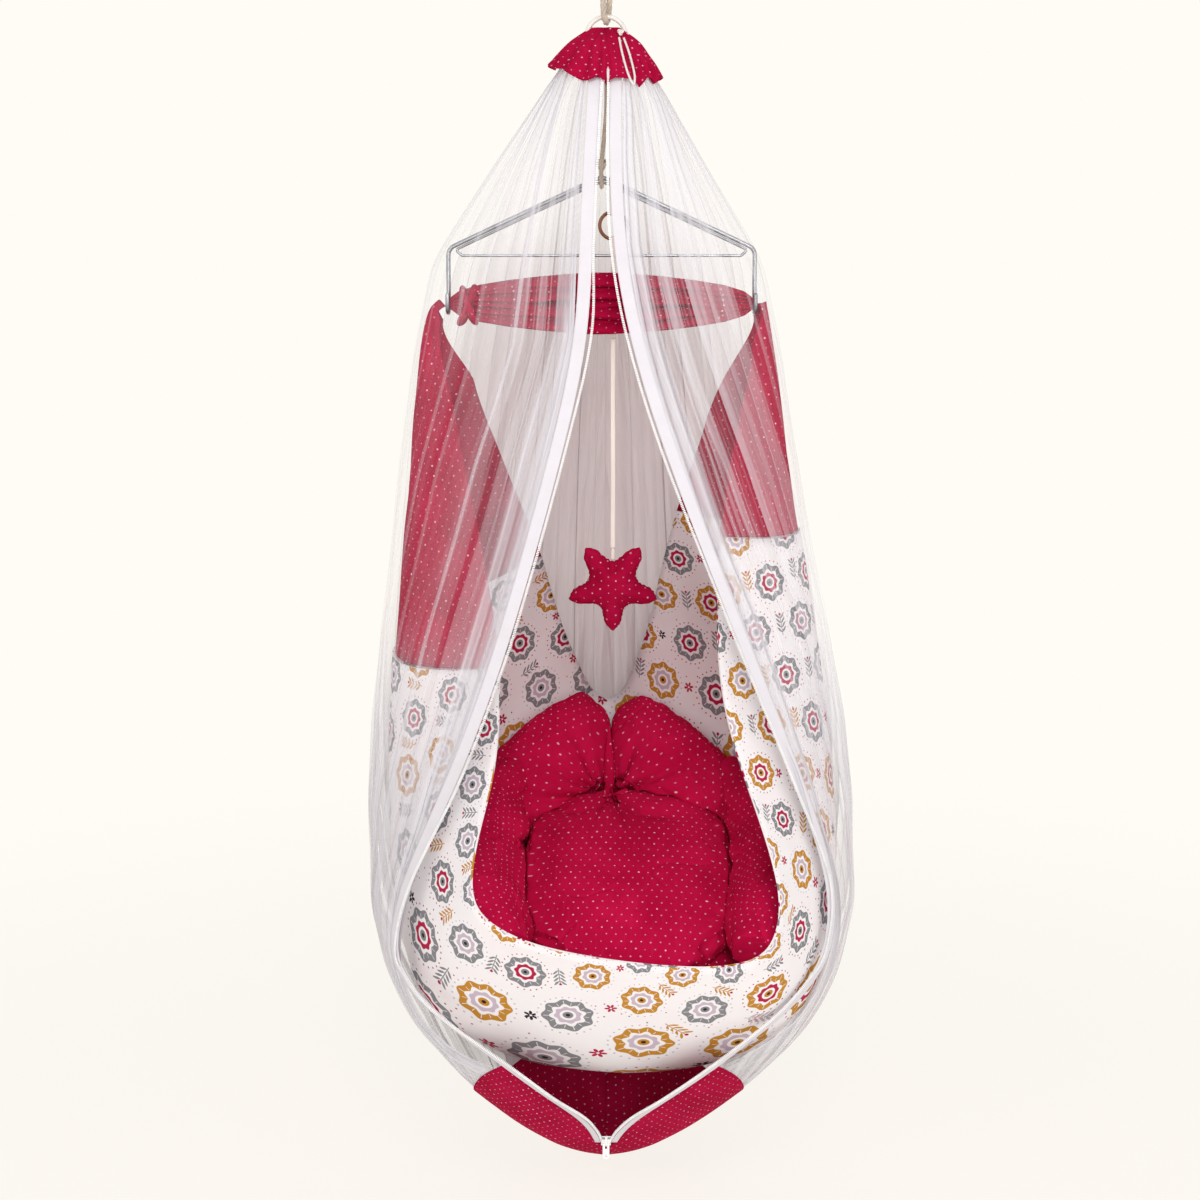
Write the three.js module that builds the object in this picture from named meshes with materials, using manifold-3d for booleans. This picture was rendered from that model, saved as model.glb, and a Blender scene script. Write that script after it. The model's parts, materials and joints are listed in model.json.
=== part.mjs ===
// Hanging baby cradle: a cloth nest slung from a steel hanger, inside a zipped net, on a ceiling rope.
// Millimetres, +Z up, front towards -Y. The origin is the middle of the ceiling plate's upper face.
import * as THREE from "three";
import { mergeVertices } from "three/addons/utils/BufferGeometryUtils.js";
import Module from "manifold-3d";

const wasm = await Module();
wasm.setup();

// Clearances between pieces that touch
const gap = 0.3;
const clothGap = 0.5;
const cushionGap = 0.6;
const overrun = 5;

// Ceiling plate and hook
const plateRadius = 27;
const plateThickness = 4;
const screwRadius = 2.2;
const screwHeadRadius = 4.6;
const screwHeadHeight = 2.2;
const screwReach = 18;
const screwSpacing = 17;
const screwFlatRadius = 2.3;
const hookRodRadius = 3;
const hookRadius = 14;
const hookShank = 16;
const hookMouthDegrees = 40;

// Upper rope and suspension ring
const ropeRadius = 4;
const ropeFall = 76.8;
const ringRadius = 25.2;
const ringRodRadius = 3.2;
const ropeSide_shares = [0.4, 0.15, 0.4, 0.7];
const ropeFall_shares = [0.3, 0.6, 0.85];
const ropeTwist_share = 0.55;
const ropeSteps = 56;
const ropeSides = 8;
const rodSides = 10;

// Lower rope, inside the net
const lowerRopeRadius = 3;
const lowerRopeFall = 151.8;
const lowerRopeKnotRadius = 8.5;
const lowerRopeTail = 46;
const lowerRopeSteps = 64;

// Hanger
const hangerCentreX = -6;
const hangerHalfWidth = 199;
const hangerRise = 92;
const bowRodRadius = 3;
const braceRodRadius = 2;
const cornerRadius = 14;
const apexRadius = 20;
const hookDrop = 70;
const clothHookRadius = 12;
const clothHookTip = 14;
const braceInset = 9;
const braceBendRadius = 3;
const clothHookStraight = 0.02;

// Toy
const toyX = 9;
const strapWidth = 9.6;
const strapThickness = 1.5;
const strapFall = 47;
const toyRingRadius = 17.5;
const toyRingRodRadius = 2.5;
const ribbonWidth = 6;
const ribbonThickness = 1;
const ribbonBendDrop = 45;
const ribbonFall = 277;
const ribbonBendGap = 0.6;
const starLoopHeight = 15;
const starLoopWidth = 5;
const starLoopThickness = 3;
const starRadius = 64;
const starNotchRadius = 34;
const starThickness = 36;
const starPoints = 5;
const starPointColumns = 6;
const starPointedness = 1.35;
const starSwell_powers = [2.4, 0.62];
const starPinch_share = 0.6;
const starSwell_shares = [0.42, 0.74, 0.93];

// Cloth loop of the cradle: the swag over the top and the sling below
const bundleWidth = 13;
const bundleHeight = 11;
const bundleLap = 5.6;
const swagHeight = 81;
const swagThickness = 15;
const swagPleats = 6;
const swagPleatDepth = 3;
const swagHeight_shares = [0.14, 0.4, 0.6, 0.76, 0.88, 0.96, 1, 1, 0.96, 0.88, 0.76, 0.6, 0.4, 0.14];
const swagPlace_shares = [0, 0.035, 0.1, 0.2, 0.3, 0.4, 0.47, 0.53, 0.6, 0.7, 0.8, 0.9, 0.965, 1];
const swagRound_share = 0.6;
const swagEdge_share = 0.9;
const swagRear_share = 0.7;
const slingSideRoom = 37;
const slingFrontRoom = 26;
const slingRearRoom = 50;
const slingFoot_share = 0.10324;
const slingThickness = 3;
const slingRows = 18;
const slingColumns = 10;
const panelRows = 8;
const panelColumns = 6;
const hookFlare_share = 0.11;
const slingTurns = 3;

// Cushions
const padX = 32;
const padY = -31;
const padLift = 251;
const padHalfWidth = 150;
const padHalfLength = 193;
const padThickness = 56;
const padTiltDegrees = 26;
const padTuftDepth = 22;
const padTuftRadius = 60;
const padSquareness = 2.5;
const padColumns = 24;
const padRim_power = 3.2;
const padCrown_power = 0.6;
const padRing_shares = [0.35, 0.65, 0.86, 0.97];
const tuftSteepness = 3;
const rimStiffness = 6;
const lobeHalfWidth = 104;
const lobeHalfHeight = 96;
const lobeSlope = 0.5;
const lobeThickness = 92;
const lobeTiltDegrees = 32;
const lobeLift = 354;
const lobeY = 150;
const lobeSpacing = 100;
const lobeYawDegrees = 14;
const lobeColumns = 16;
const lobeCrown_power = 0.7;
const lobeMiddle_share = 0.25;
const leftBolsterRadius = 68;
const rightBolsterRadius = 57;
const leftBolsterWidth_shares = [0.46, 0.6, 0.64, 0.6, 0.44];
const rightBolsterWidth_shares = [0.6, 0.68, 0.73, 0.7, 0.52];
const bolsterDepth_shares = [-0.8, -0.5, -0.1, 0.25, 0.5];
const bolsterFall_shares = [0.795, 0.775, 0.745, 0.7, 0.645];
const bolsterSize_shares = [0.5, 0.92, 1, 1, 0.9, 0.4];
const bolsterSteps = 9;
const coreHalfWidth = 262;
const coreHalfLength = 238;
const coreHalfHeight = 112;
const coreSquareness = 2.2;
const coreColumns = 14;
const coreCrown_power = 0.55;
const coreMiddle_share = 0.333;
const coreLift = 124;

// Net
const collarTopHalfWidth = 28.3;
const collarTopHalfDepth = 10.5;
const collarHemRadius = 71;
const collarHeight = 52;
const collarTopDrop = 13.4;
const collarThickness = 2;
const collarPleats = 8;
const collarPleatDepth = 3;
const collarFrontDip = 18;
const collarTilt = 9;
const netHeight = 1484;
const netHalfWidth = 337;
const netFront = 288;
const netRear = 300;
const netLean = 11;
const netThickness = 1.2;
const netPleats = 6;
const netPleatDepth = 9;
const netCollarLap = 12;
const netNeckDrop = 37.1;
const baseThickness = 1.6;
const backSeamHalfGap = 0.4;
const tapeWidth = 16;
const baseTapeWidth = 8;
const tapeThickness = 1.6;
const chainRadius = 1.3;
const sliderWidth = 13;
const sliderHeight = 18;
const sliderLap = 5;
const sliderPlate = 1.2;
const sliderPostWidth = 3;
const bridgeRadius = 0.9;
const bridgeRise = 4.4;
const bridgeHalfSpan = 4;
const bridgeSpan_shares = [-1, -0.8, 0, 0.8, 1];
const bridgeSteps = 10;
const tabWidth = 9;
const tabLength = 22;
const tabThickness = 1.6;
const tabBar = 1.8;
const tabSlotWidth = 2.8;
const tabSlotLength = 6;
const tabHoleRadius = 2.2;
const tabCorner = 1;
const drawstringRadius = 1.5;
const drawstringKnotRadius = 4;
const drawstringStandOff = 1;
const drawstringSteps = 22;
const drawstringFall_shares = [0.24, 0.56, 0.88, 1.02, 0.88, 0.56, 0.24];
const drawstringTurn_shares = [0.1337, 0.121, 0.1273, 0.1464, 0.1687, 0.1846, 0.191];
const drawstringKnotFall_share = 0.12;
const drawstringKnotTurn_share = 0.1592;
const drawstringKnotScale_shares = [1.15, 1, 0.9];

// Heights and places that follow from the sizes above
const hookCentreZ = -plateThickness - hookShank - hookRadius;
const hookSeatZ = hookCentreZ - hookRadius;
const ringTopZ = hookSeatZ - ropeFall;
const ringCentreZ = ringTopZ - ringRadius;
const ringBottomZ = ringTopZ - 2 * ringRadius;
const apexZ = ringBottomZ - lowerRopeFall;
const bowSlope = Math.atan2(hangerRise, hangerHalfWidth);
const apexLift = apexRadius * (1 / Math.cos(bowSlope) - 1);
const cornerZ = apexZ + apexLift - hangerRise;
const bundleY = -clothHookRadius;
const bundleZ = cornerZ - hookDrop;
const collarTopZ = ringTopZ - collarTopDrop;
const collarHemZ = collarTopZ - collarHeight;
const netTopZ = collarHemZ + netCollarLap;
const zipHalfGap = 2 * chainRadius + 2 * gap + gap / 2;
const ribbonEye = toyRingRodRadius + gap + ringSag(toyRingRadius, ribbonWidth);
const toyY = -ribbonEye - ribbonThickness / 2;
const ribbonBendZ = bundleZ - ribbonBendDrop;
const slingHalfWidth = netHalfWidth - slingSideRoom;
const slingFront = netFront - slingFrontRoom;
const slingRear = netRear - slingRearRoom;
const slingBottomZ = netTopZ - netHeight * (1 - slingFoot_share);
const slingFall = bundleZ - slingBottomZ;

// Materials
const paint = (color, roughness, metalness) =>
  new THREE.MeshStandardMaterial({ color, roughness, metalness });
const steel = paint(0xb9bfc2, 0.3, 1);
const crimsonCloth = paint(0xb21240, 0.9, 0);
const printedCloth = paint(0xf5efed, 0.9, 0);
const netCloth = paint(0xeae4ec, 0.8, 0);
const whiteTape = paint(0xfafafa, 0.8, 0);
const ropeCord = paint(0xc8b9aa, 0.9, 0);
const bronze = paint(0x785041, 0.4, 0.8);
const ringResin = paint(0xdedad2, 0.5, 0);
const whitePlastic = paint(0xf6f6f4, 0.4, 0);

const root = new THREE.Group();

// One named piece of the cradle
function piece(name, geometry, material) {
  const mesh = new THREE.Mesh(geometry, material);
  mesh.name = name;
  root.add(mesh);
  return mesh;
}

const point = (x, y, z) => new THREE.Vector3(x, y, z);
const mix = (a, b, share) => a + (b - a) * share;
const degrees = (angle) => THREE.MathUtils.degToRad(angle);

// A value read between the entries of an evenly spaced row of shares
function along(shares, place) {
  const spot = THREE.MathUtils.clamp(place, 0, 1) * (shares.length - 1);
  const low = Math.min(Math.floor(spot), shares.length - 2);
  return mix(shares[low], shares[low + 1], spot - low);
}

// A value read from a row of shares that stand at places of their own
function between(places, shares, place) {
  let high = 1;
  while (high < places.length - 1 && places[high] < place) high += 1;
  const low = high - 1;
  const part = (place - places[low]) / (places[high] - places[low]);
  return mix(shares[low], shares[high], THREE.MathUtils.clamp(part, 0, 1));
}

// A closed geometry from corner points and triangles, turned so that its faces point out
function closedGeometry(corners, triangles) {
  let volume = 0;
  for (const [a, b, c] of triangles) {
    volume += corners[a].dot(corners[b].clone().cross(corners[c]));
  }
  const turned = volume < 0;
  const geometry = new THREE.BufferGeometry();
  geometry.setFromPoints(corners);
  geometry.setIndex(triangles.flatMap(([a, b, c]) => (turned ? [a, c, b] : [a, b, c])));
  geometry.computeVertexNormals();
  return geometry;
}

// A skin through closed rings of points. A ring of one point is a pole, and open ends get a flat fan.
function loft(rings, joined = false) {
  const corners = rings.flat();
  const starts = [];
  let count = 0;
  for (const ring of rings) {
    starts.push(count);
    count += ring.length;
  }
  const triangles = [];
  const bands = joined ? rings.length : rings.length - 1;
  for (let k = 0; k < bands; k += 1) {
    const next = (k + 1) % rings.length;
    const around = Math.max(rings[k].length, rings[next].length);
    for (let i = 0; i < around; i += 1) {
      const a = starts[k] + (i % rings[k].length);
      const b = starts[k] + ((i + 1) % rings[k].length);
      const c = starts[next] + (i % rings[next].length);
      const d = starts[next] + ((i + 1) % rings[next].length);
      if (a !== b) triangles.push([a, b, d]);
      if (c !== d) triangles.push([a, d, c]);
    }
  }
  if (!joined) {
    capRing(rings[0], starts[0], corners, triangles, true);
    capRing(rings[rings.length - 1], starts[rings.length - 1], corners, triangles, false);
  }
  return closedGeometry(corners, triangles);
}

// A flat fan from a ring's middle that closes the end of a skin
function capRing(ring, start, corners, triangles, first) {
  if (ring.length === 1) return;
  const middle = new THREE.Vector3();
  for (const corner of ring) middle.add(corner);
  corners.push(middle.divideScalar(ring.length));
  const hub = corners.length - 1;
  for (let i = 0; i < ring.length; i += 1) {
    const a = start + i;
    const b = start + ((i + 1) % ring.length);
    triangles.push(first ? [b, a, hub] : [a, b, hub]);
  }
}

// A bent rod along a line of points, with frames carried from one to the next without twisting
function rodAlong(line, radius, sides, joined = false) {
  const count = line.length;
  const tangents = line.map((spot, k) => {
    const before = line[joined ? (k + count - 1) % count : Math.max(k - 1, 0)];
    const after = line[joined ? (k + 1) % count : Math.min(k + 1, count - 1)];
    return after.clone().sub(before).normalize();
  });
  const across = Math.abs(tangents[0].z) < Math.SQRT1_2 ? point(0, 0, 1) : point(0, 1, 0);
  let side = across.clone().cross(tangents[0]).normalize();
  const sideways = [];
  for (const tangent of tangents) {
    side = side.clone().addScaledVector(tangent, -side.dot(tangent)).normalize();
    sideways.push(side);
  }
  const twist = joined ? twistOf(sideways[count - 1], sideways[0], tangents[0]) : 0;
  const rings = line.map((spot, k) => {
    const turned = sideways[k].clone().applyAxisAngle(tangents[k], (twist * k) / count);
    const up = tangents[k].clone().cross(turned);
    const size = typeof radius === "function" ? radius(k / (count - 1)) : radius;
    return roundSection(spot, turned, up, size, size, sides);
  });
  return loft(rings, joined);
}

// The angle that brings the last frame of a closed rod round to the first
function twistOf(last, first, axis) {
  const carried = last.clone().addScaledVector(axis, -last.dot(axis)).normalize();
  return Math.atan2(carried.clone().cross(first).dot(axis), carried.dot(first));
}

// A ring of points round a middle, wide along one direction and high along the other
function roundSection(middle, side, up, halfWidth, halfHeight, count) {
  return Array.from({ length: count }, (_, i) => {
    const angle = (2 * Math.PI * i) / count;
    return middle
      .clone()
      .addScaledVector(side, halfWidth * Math.cos(angle))
      .addScaledVector(up, halfHeight * Math.sin(angle));
  });
}

// Straight runs between corner points, with each corner rounded by its own radius
function roundedLine(corners, radii, arcSteps, joined = false) {
  const line = [];
  const count = corners.length;
  corners.forEach((corner, k) => {
    const isEnd = !joined && (k === 0 || k === count - 1);
    if (isEnd) {
      line.push(corner.clone());
      return;
    }
    const before = corners[(k + count - 1) % count].clone().sub(corner).normalize();
    const after = corners[(k + 1) % count].clone().sub(corner).normalize();
    const opening = before.angleTo(after);
    const reach = radii[k] / Math.tan(opening / 2);
    const bisector = before.clone().add(after).normalize();
    const centre = corner.clone().addScaledVector(bisector, radii[k] / Math.sin(opening / 2));
    const start = corner.clone().addScaledVector(before, reach).sub(centre);
    const axis = before.clone().cross(after).normalize();
    for (let i = 0; i <= arcSteps; i += 1) {
      const turn = (-(Math.PI - opening) * i) / arcSteps;
      line.push(centre.clone().add(start.clone().applyAxisAngle(axis, turn)));
    }
  });
  return line;
}

// A thin solid on both sides of a grid of points, with its four edges closed
function sheet(grid, halfThickness) {
  const rows = grid.length;
  const columns = grid[0].length;
  const front = [];
  const back = [];
  for (let i = 0; i < rows; i += 1) {
    for (let j = 0; j < columns; j += 1) {
      const down = grid[Math.min(i + 1, rows - 1)][j].clone().sub(grid[Math.max(i - 1, 0)][j]);
      const acrossIt = grid[i][Math.min(j + 1, columns - 1)].clone();
      acrossIt.sub(grid[i][Math.max(j - 1, 0)]);
      const normal = down.cross(acrossIt).normalize();
      const half = typeof halfThickness === "function" ? halfThickness(i, j) : halfThickness;
      front.push(grid[i][j].clone().addScaledVector(normal, half));
      back.push(grid[i][j].clone().addScaledVector(normal, -half));
    }
  }
  const size = front.length;
  const at = (i, j) => i * columns + j;
  const triangles = [];
  const quad = (a, b, c, d) => triangles.push([a, b, c], [a, c, d]);
  for (let i = 0; i < rows - 1; i += 1) {
    for (let j = 0; j < columns - 1; j += 1) {
      const [a, b, c, d] = [at(i, j), at(i, j + 1), at(i + 1, j + 1), at(i + 1, j)];
      quad(a, b, c, d);
      quad(size + a, size + d, size + c, size + b);
    }
    quad(at(i, 0), at(i + 1, 0), size + at(i + 1, 0), size + at(i, 0));
    const last = columns - 1;
    quad(at(i + 1, last), at(i, last), size + at(i, last), size + at(i + 1, last));
  }
  for (let j = 0; j < columns - 1; j += 1) {
    quad(at(0, j + 1), at(0, j), size + at(0, j), size + at(0, j + 1));
    const last = rows - 1;
    quad(at(last, j), at(last, j + 1), size + at(last, j + 1), size + at(last, j));
  }
  return closedGeometry([...front, ...back], triangles);
}

// Solid for joining and cutting, from a closed geometry
function solidOf(geometry) {
  const bare = (geometry.index ? geometry.toNonIndexed() : geometry).clone();
  bare.deleteAttribute("normal");
  bare.deleteAttribute("uv");
  const merged = mergeVertices(bare);
  const mesh = new wasm.Mesh({
    numProp: 3,
    vertProperties: new Float32Array(merged.attributes.position.array),
    triVerts: new Uint32Array(merged.index.array),
  });
  return new wasm.Manifold(mesh);
}

// Geometry of a joined or cut solid
function geometryOf(solid) {
  const mesh = solid.getMesh();
  const geometry = new THREE.BufferGeometry();
  const places = new Float32Array(mesh.numVert * 3);
  for (let i = 0; i < mesh.numVert; i += 1) {
    places.set(mesh.vertProperties.subarray(i * mesh.numProp, i * mesh.numProp + 3), i * 3);
  }
  geometry.setAttribute("position", new THREE.BufferAttribute(places, 3));
  geometry.setIndex(new THREE.BufferAttribute(new Uint32Array(mesh.triVerts), 1));
  geometry.computeVertexNormals();
  return geometry;
}

function joined(...geometries) {
  return geometryOf(geometries.map(solidOf).reduce((whole, next) => whole.add(next)));
}

// What is left of a geometry, the largest body of it, when the others are cut away
function cutBy(geometry, ...cutters) {
  let solid = solidOf(geometry);
  for (const cutter of cutters) solid = solid.subtract(solidOf(cutter));
  const bodies = solid.decompose();
  bodies.sort((a, b) => b.volume() - a.volume());
  return geometryOf(bodies[0]);
}

// A flat outline in the plane of Y and Z, given depth along X about its own middle
function slabAlongX(shape, width, x, y, z) {
  const slab = new THREE.ExtrudeGeometry(shape, {
    depth: width,
    bevelEnabled: false,
    curveSegments: 8,
  });
  slab.translate(0, 0, -width / 2);
  const turn = new THREE.Matrix4().makeBasis(point(0, 1, 0), point(0, 0, 1), point(1, 0, 0));
  slab.applyMatrix4(turn);
  slab.translate(x, y, z);
  return slab;
}

// The outline of a stadium, upright, about its own middle
function stadium(halfWidth, halfHeight, way = THREE.Shape) {
  const outline = new way();
  const rise = halfHeight - halfWidth;
  outline.moveTo(halfWidth, -rise);
  outline.lineTo(halfWidth, rise);
  outline.absarc(0, rise, halfWidth, 0, Math.PI, false);
  outline.lineTo(-halfWidth, -rise);
  outline.absarc(0, -rise, halfWidth, Math.PI, 2 * Math.PI, false);
  return outline;
}

// Ceiling fitting
function addCeilingFitting() {
  const disc = new THREE.CylinderGeometry(plateRadius, plateRadius, plateThickness, 32);
  disc.rotateX(Math.PI / 2);
  disc.translate(0, 0, -plateThickness / 2);
  const holes = [-1, 1].map((side) => {
    const radius = screwRadius + gap;
    const hole = new THREE.CylinderGeometry(radius, radius, plateThickness + 2 * overrun, 16);
    hole.rotateX(Math.PI / 2);
    hole.translate(side * screwSpacing, 0, -plateThickness / 2);
    return hole;
  });
  piece("ceiling_plate", cutBy(disc, ...holes), steel);
  [-1, 1].forEach((side) => {
    const profile = [
      new THREE.Vector2(0, -screwHeadHeight),
      new THREE.Vector2(screwFlatRadius, -screwHeadHeight),
      new THREE.Vector2(screwHeadRadius, 0),
      new THREE.Vector2(screwRadius, 0),
      new THREE.Vector2(screwRadius, plateThickness + gap + screwReach),
      new THREE.Vector2(0, plateThickness + gap + screwReach),
    ];
    const screw = new THREE.LatheGeometry(profile, 16);
    screw.rotateX(Math.PI / 2);
    screw.translate(side * screwSpacing, 0, -plateThickness - gap);
    piece(side < 0 ? "plate_screw_left" : "plate_screw_right", screw, steel);
  });
  const line = [point(0, 0, -plateThickness - gap), point(0, 0, hookCentreZ + hookRadius)];
  const steps = 18;
  const sweepDegrees = 360 - hookMouthDegrees - 90;
  for (let i = 1; i <= steps; i += 1) {
    const angle = degrees(90 - (sweepDegrees * i) / steps);
    line.push(point(0, hookRadius * Math.cos(angle), hookCentreZ + hookRadius * Math.sin(angle)));
  }
  piece("ceiling_hook", rodAlong(line, hookRodRadius, 10), steel);
}

// The upper rope: one closed loop over the hook and through the ring
function addUpperRope() {
  const bend = ropeRadius + hookRodRadius + gap;
  const wrap = ropeRadius + ringRodRadius + gap;
  const lay = ropeRadius + gap;
  const [nearHook, nearRing, overRing, underRing] = ropeSide_shares;
  const [upper, middle, lower] = ropeFall_shares;
  const route = [
    point(0, 0, hookSeatZ + bend),
    point(-bend * Math.SQRT1_2, 0, hookSeatZ + bend * Math.SQRT1_2),
    point(-bend, 0, hookSeatZ),
    point(-mix(bend, lay, nearHook), 0, mix(hookSeatZ, ringTopZ, upper)),
    point(-lay, 0, mix(hookSeatZ, ringTopZ, middle)),
    point(-mix(lay, 0, nearRing), -wrap * ropeTwist_share, mix(hookSeatZ, ringTopZ, lower)),
    point(-mix(lay, 0, overRing), -wrap, ringTopZ),
    point(-mix(lay, 0, underRing), -wrap * Math.SQRT1_2, ringTopZ - wrap * Math.SQRT1_2),
    point(0, 0, ringTopZ - wrap),
  ];
  const mirrored = route
    .slice(1, -1)
    .reverse()
    .map((spot) => point(-spot.x, -spot.y, spot.z));
  const curve = new THREE.CatmullRomCurve3([...route, ...mirrored], true, "centripetal");
  const line = curve.getSpacedPoints(ropeSteps).slice(0, -1);
  piece("upper_rope", rodAlong(line, ropeRadius, ropeSides, true), ropeCord);
}

// The round ring that holds the collar and the lower rope
function addRing() {
  const ring = new THREE.TorusGeometry(ringRadius, ringRodRadius, 10, 36);
  ring.rotateX(Math.PI / 2);
  ring.translate(0, 0, ringCentreZ);
  piece("suspension_ring", ring, ringResin);
}

// The lower rope: a loop from the ring to the hanger's top, knotted above it, with a spare end
function addLowerRope() {
  const ringWrap = ringRodRadius + lowerRopeRadius + gap;
  const braceZ = apexZ - braceOffset() / Math.cos(bowSlope);
  const barWrap = bowRodRadius + lowerRopeRadius + clothGap;
  const topX = 0;
  const route = [];
  const arcSteps = 6;
  for (let i = 0; i <= arcSteps; i += 1) {
    const angle = (Math.PI * i) / arcSteps;
    route.push(point(topX, ringWrap * Math.cos(angle), ringBottomZ + ringWrap * Math.sin(angle)));
  }
  const knotZ = apexZ + lowerRopeKnotRadius + bowRodRadius + 2 * lowerRopeRadius;
  route.push(point(topX, -lowerRopeRadius - gap, mix(ringBottomZ, knotZ, 0.5)));
  route.push(point(hangerCentreX, -lowerRopeRadius - gap, knotZ));
  for (let i = 0; i <= arcSteps; i += 1) {
    const angle = Math.PI + (Math.PI * i) / arcSteps;
    const z = braceZ - braceRodRadius + bowRodRadius + barWrap * Math.sin(angle);
    route.push(point(hangerCentreX, barWrap * Math.cos(angle), z));
  }
  route.push(point(hangerCentreX, lowerRopeRadius + gap, knotZ));
  route.push(point(topX, lowerRopeRadius + gap, mix(ringBottomZ, knotZ, 0.5)));
  const curve = new THREE.CatmullRomCurve3(route, true, "centripetal");
  const line = curve.getSpacedPoints(lowerRopeSteps).slice(0, -1);
  const loop = rodAlong(line, lowerRopeRadius, ropeSides, true);
  const knot = new THREE.SphereGeometry(lowerRopeKnotRadius, 14, 10);
  knot.rotateX(Math.PI / 2);
  knot.translate(hangerCentreX, 0, knotZ);
  const tailX = hangerCentreX - lowerRopeKnotRadius;
  const tail = [
    point(hangerCentreX, -lowerRopeRadius, knotZ),
    point(tailX, -lowerRopeRadius, knotZ + lowerRopeTail / 4),
    point(tailX + lowerRopeRadius, -lowerRopeRadius, knotZ + lowerRopeTail),
  ];
  const tailCurve = new THREE.CatmullRomCurve3(tail);
  const spare = rodAlong(tailCurve.getSpacedPoints(6), lowerRopeRadius, 8);
  piece("lower_rope", joined(loop, knot, spare), ropeCord);
}

// How far the brace's middle line lies under the bow's
function braceOffset() {
  return bowRodRadius + braceRodRadius + gap;
}

// The hanger's bow: one rod from cloth hook to cloth hook over the top
function addBow() {
  const side = (sign) => {
    const x = hangerCentreX + sign * hangerHalfWidth;
    return [
      point(x, -2 * clothHookRadius, bundleZ + clothHookTip),
      point(x, -2 * clothHookRadius, bundleZ - clothHookRadius),
      point(x, 0, bundleZ - clothHookRadius),
      point(x, 0, cornerZ),
    ];
  };
  const corners = [...side(-1), point(hangerCentreX, 0, apexZ + apexLift), ...side(1).reverse()];
  const hookBend = clothHookRadius - clothHookStraight;
  const radii = [0, hookBend, hookBend, cornerRadius, apexRadius, cornerRadius, hookBend, hookBend, 0];
  piece("hanger_bow", rodAlong(roundedLine(corners, radii, 5), bowRodRadius, 10), steel);
}

// The hanger's brace: a thinner closed rod under the bow
function addBrace() {
  const drop = braceOffset() / Math.cos(bowSlope);
  const halfWidth = hangerHalfWidth - braceInset;
  const barZ = cornerZ - braceInset;
  const peakZ = apexZ + apexLift - drop;
  const shoulderZ = peakZ - halfWidth * Math.tan(bowSlope);
  const corners = [
    point(hangerCentreX, 0, peakZ),
    point(hangerCentreX + halfWidth, 0, shoulderZ),
    point(hangerCentreX + halfWidth - braceInset, 0, barZ),
    point(hangerCentreX - halfWidth + braceInset, 0, barZ),
    point(hangerCentreX - halfWidth, 0, shoulderZ),
  ];
  const bends = [apexRadius, ...corners.slice(1).map(() => braceBendRadius)];
  const line = roundedLine(corners, bends, 4, true);
  piece("hanger_brace", rodAlong(line, braceRodRadius, 8, true), steel);
}

// The strap over the hanger's top rods, the toy's ring in its lower end and the ribbon on the ring
function addToyHanging() {
  const lowX = toyX - hangerCentreX - strapWidth / 2;
  const strapTop = apexZ + apexLift - lowX * Math.tan(bowSlope) + bowRodRadius + gap;
  const inner = bowRodRadius + gap + strapThickness / 2;
  const halfHeight = strapFall / 2;
  const loop = stadium(inner + strapThickness / 2, halfHeight + strapThickness);
  loop.holes.push(stadium(inner - strapThickness / 2, halfHeight, THREE.Path));
  piece("toy_strap", slabAlongX(loop, strapWidth, toyX, 0, strapTop - halfHeight), whiteTape);

  const strapSag = ringSag(toyRingRadius, strapWidth);
  const ringZ = strapTop - strapFall + gap + strapSag + toyRingRodRadius - toyRingRadius;
  const ring = new THREE.TorusGeometry(toyRingRadius, toyRingRodRadius, 8, 28);
  ring.rotateX(Math.PI / 2);
  ring.translate(toyX, 0, ringZ);
  piece("toy_ring", ring, bronze);

  const eyeOuter = ribbonEye + ribbonThickness;
  const eyeZ = ringZ - toyRingRadius;
  const upper = new THREE.Shape();
  const lowEnd = ribbonBendZ + ribbonBendGap / 2 - eyeZ;
  const neck = Math.acos(ribbonEye / eyeOuter);
  upper.moveTo(-ribbonEye, lowEnd);
  upper.lineTo(-ribbonEye, -eyeOuter * Math.sin(neck));
  upper.absarc(0, 0, eyeOuter, Math.PI + neck, 3 * Math.PI, false);
  upper.lineTo(-eyeOuter, lowEnd);
  const eye = new THREE.Path();
  eye.absarc(0, 0, ribbonEye, 0, 2 * Math.PI, false);
  upper.holes.push(eye);
  piece("toy_ribbon_upper", slabAlongX(upper, ribbonWidth, toyX, 0, eyeZ), whiteTape);

  const topZ = ribbonBendZ - ribbonBendGap / 2;
  const ribbon = new THREE.BoxGeometry(ribbonWidth, ribbonThickness, ribbonFall);
  ribbon.translate(toyX, toyY, topZ - ribbonFall / 2);
  piece("toy_ribbon", ribbon, whiteTape);
}

// How far a ring's rod drops from its middle to half of a width that lies over it
function ringSag(radius, width) {
  return radius - Math.sqrt(radius ** 2 - (width / 2) ** 2);
}

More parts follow.
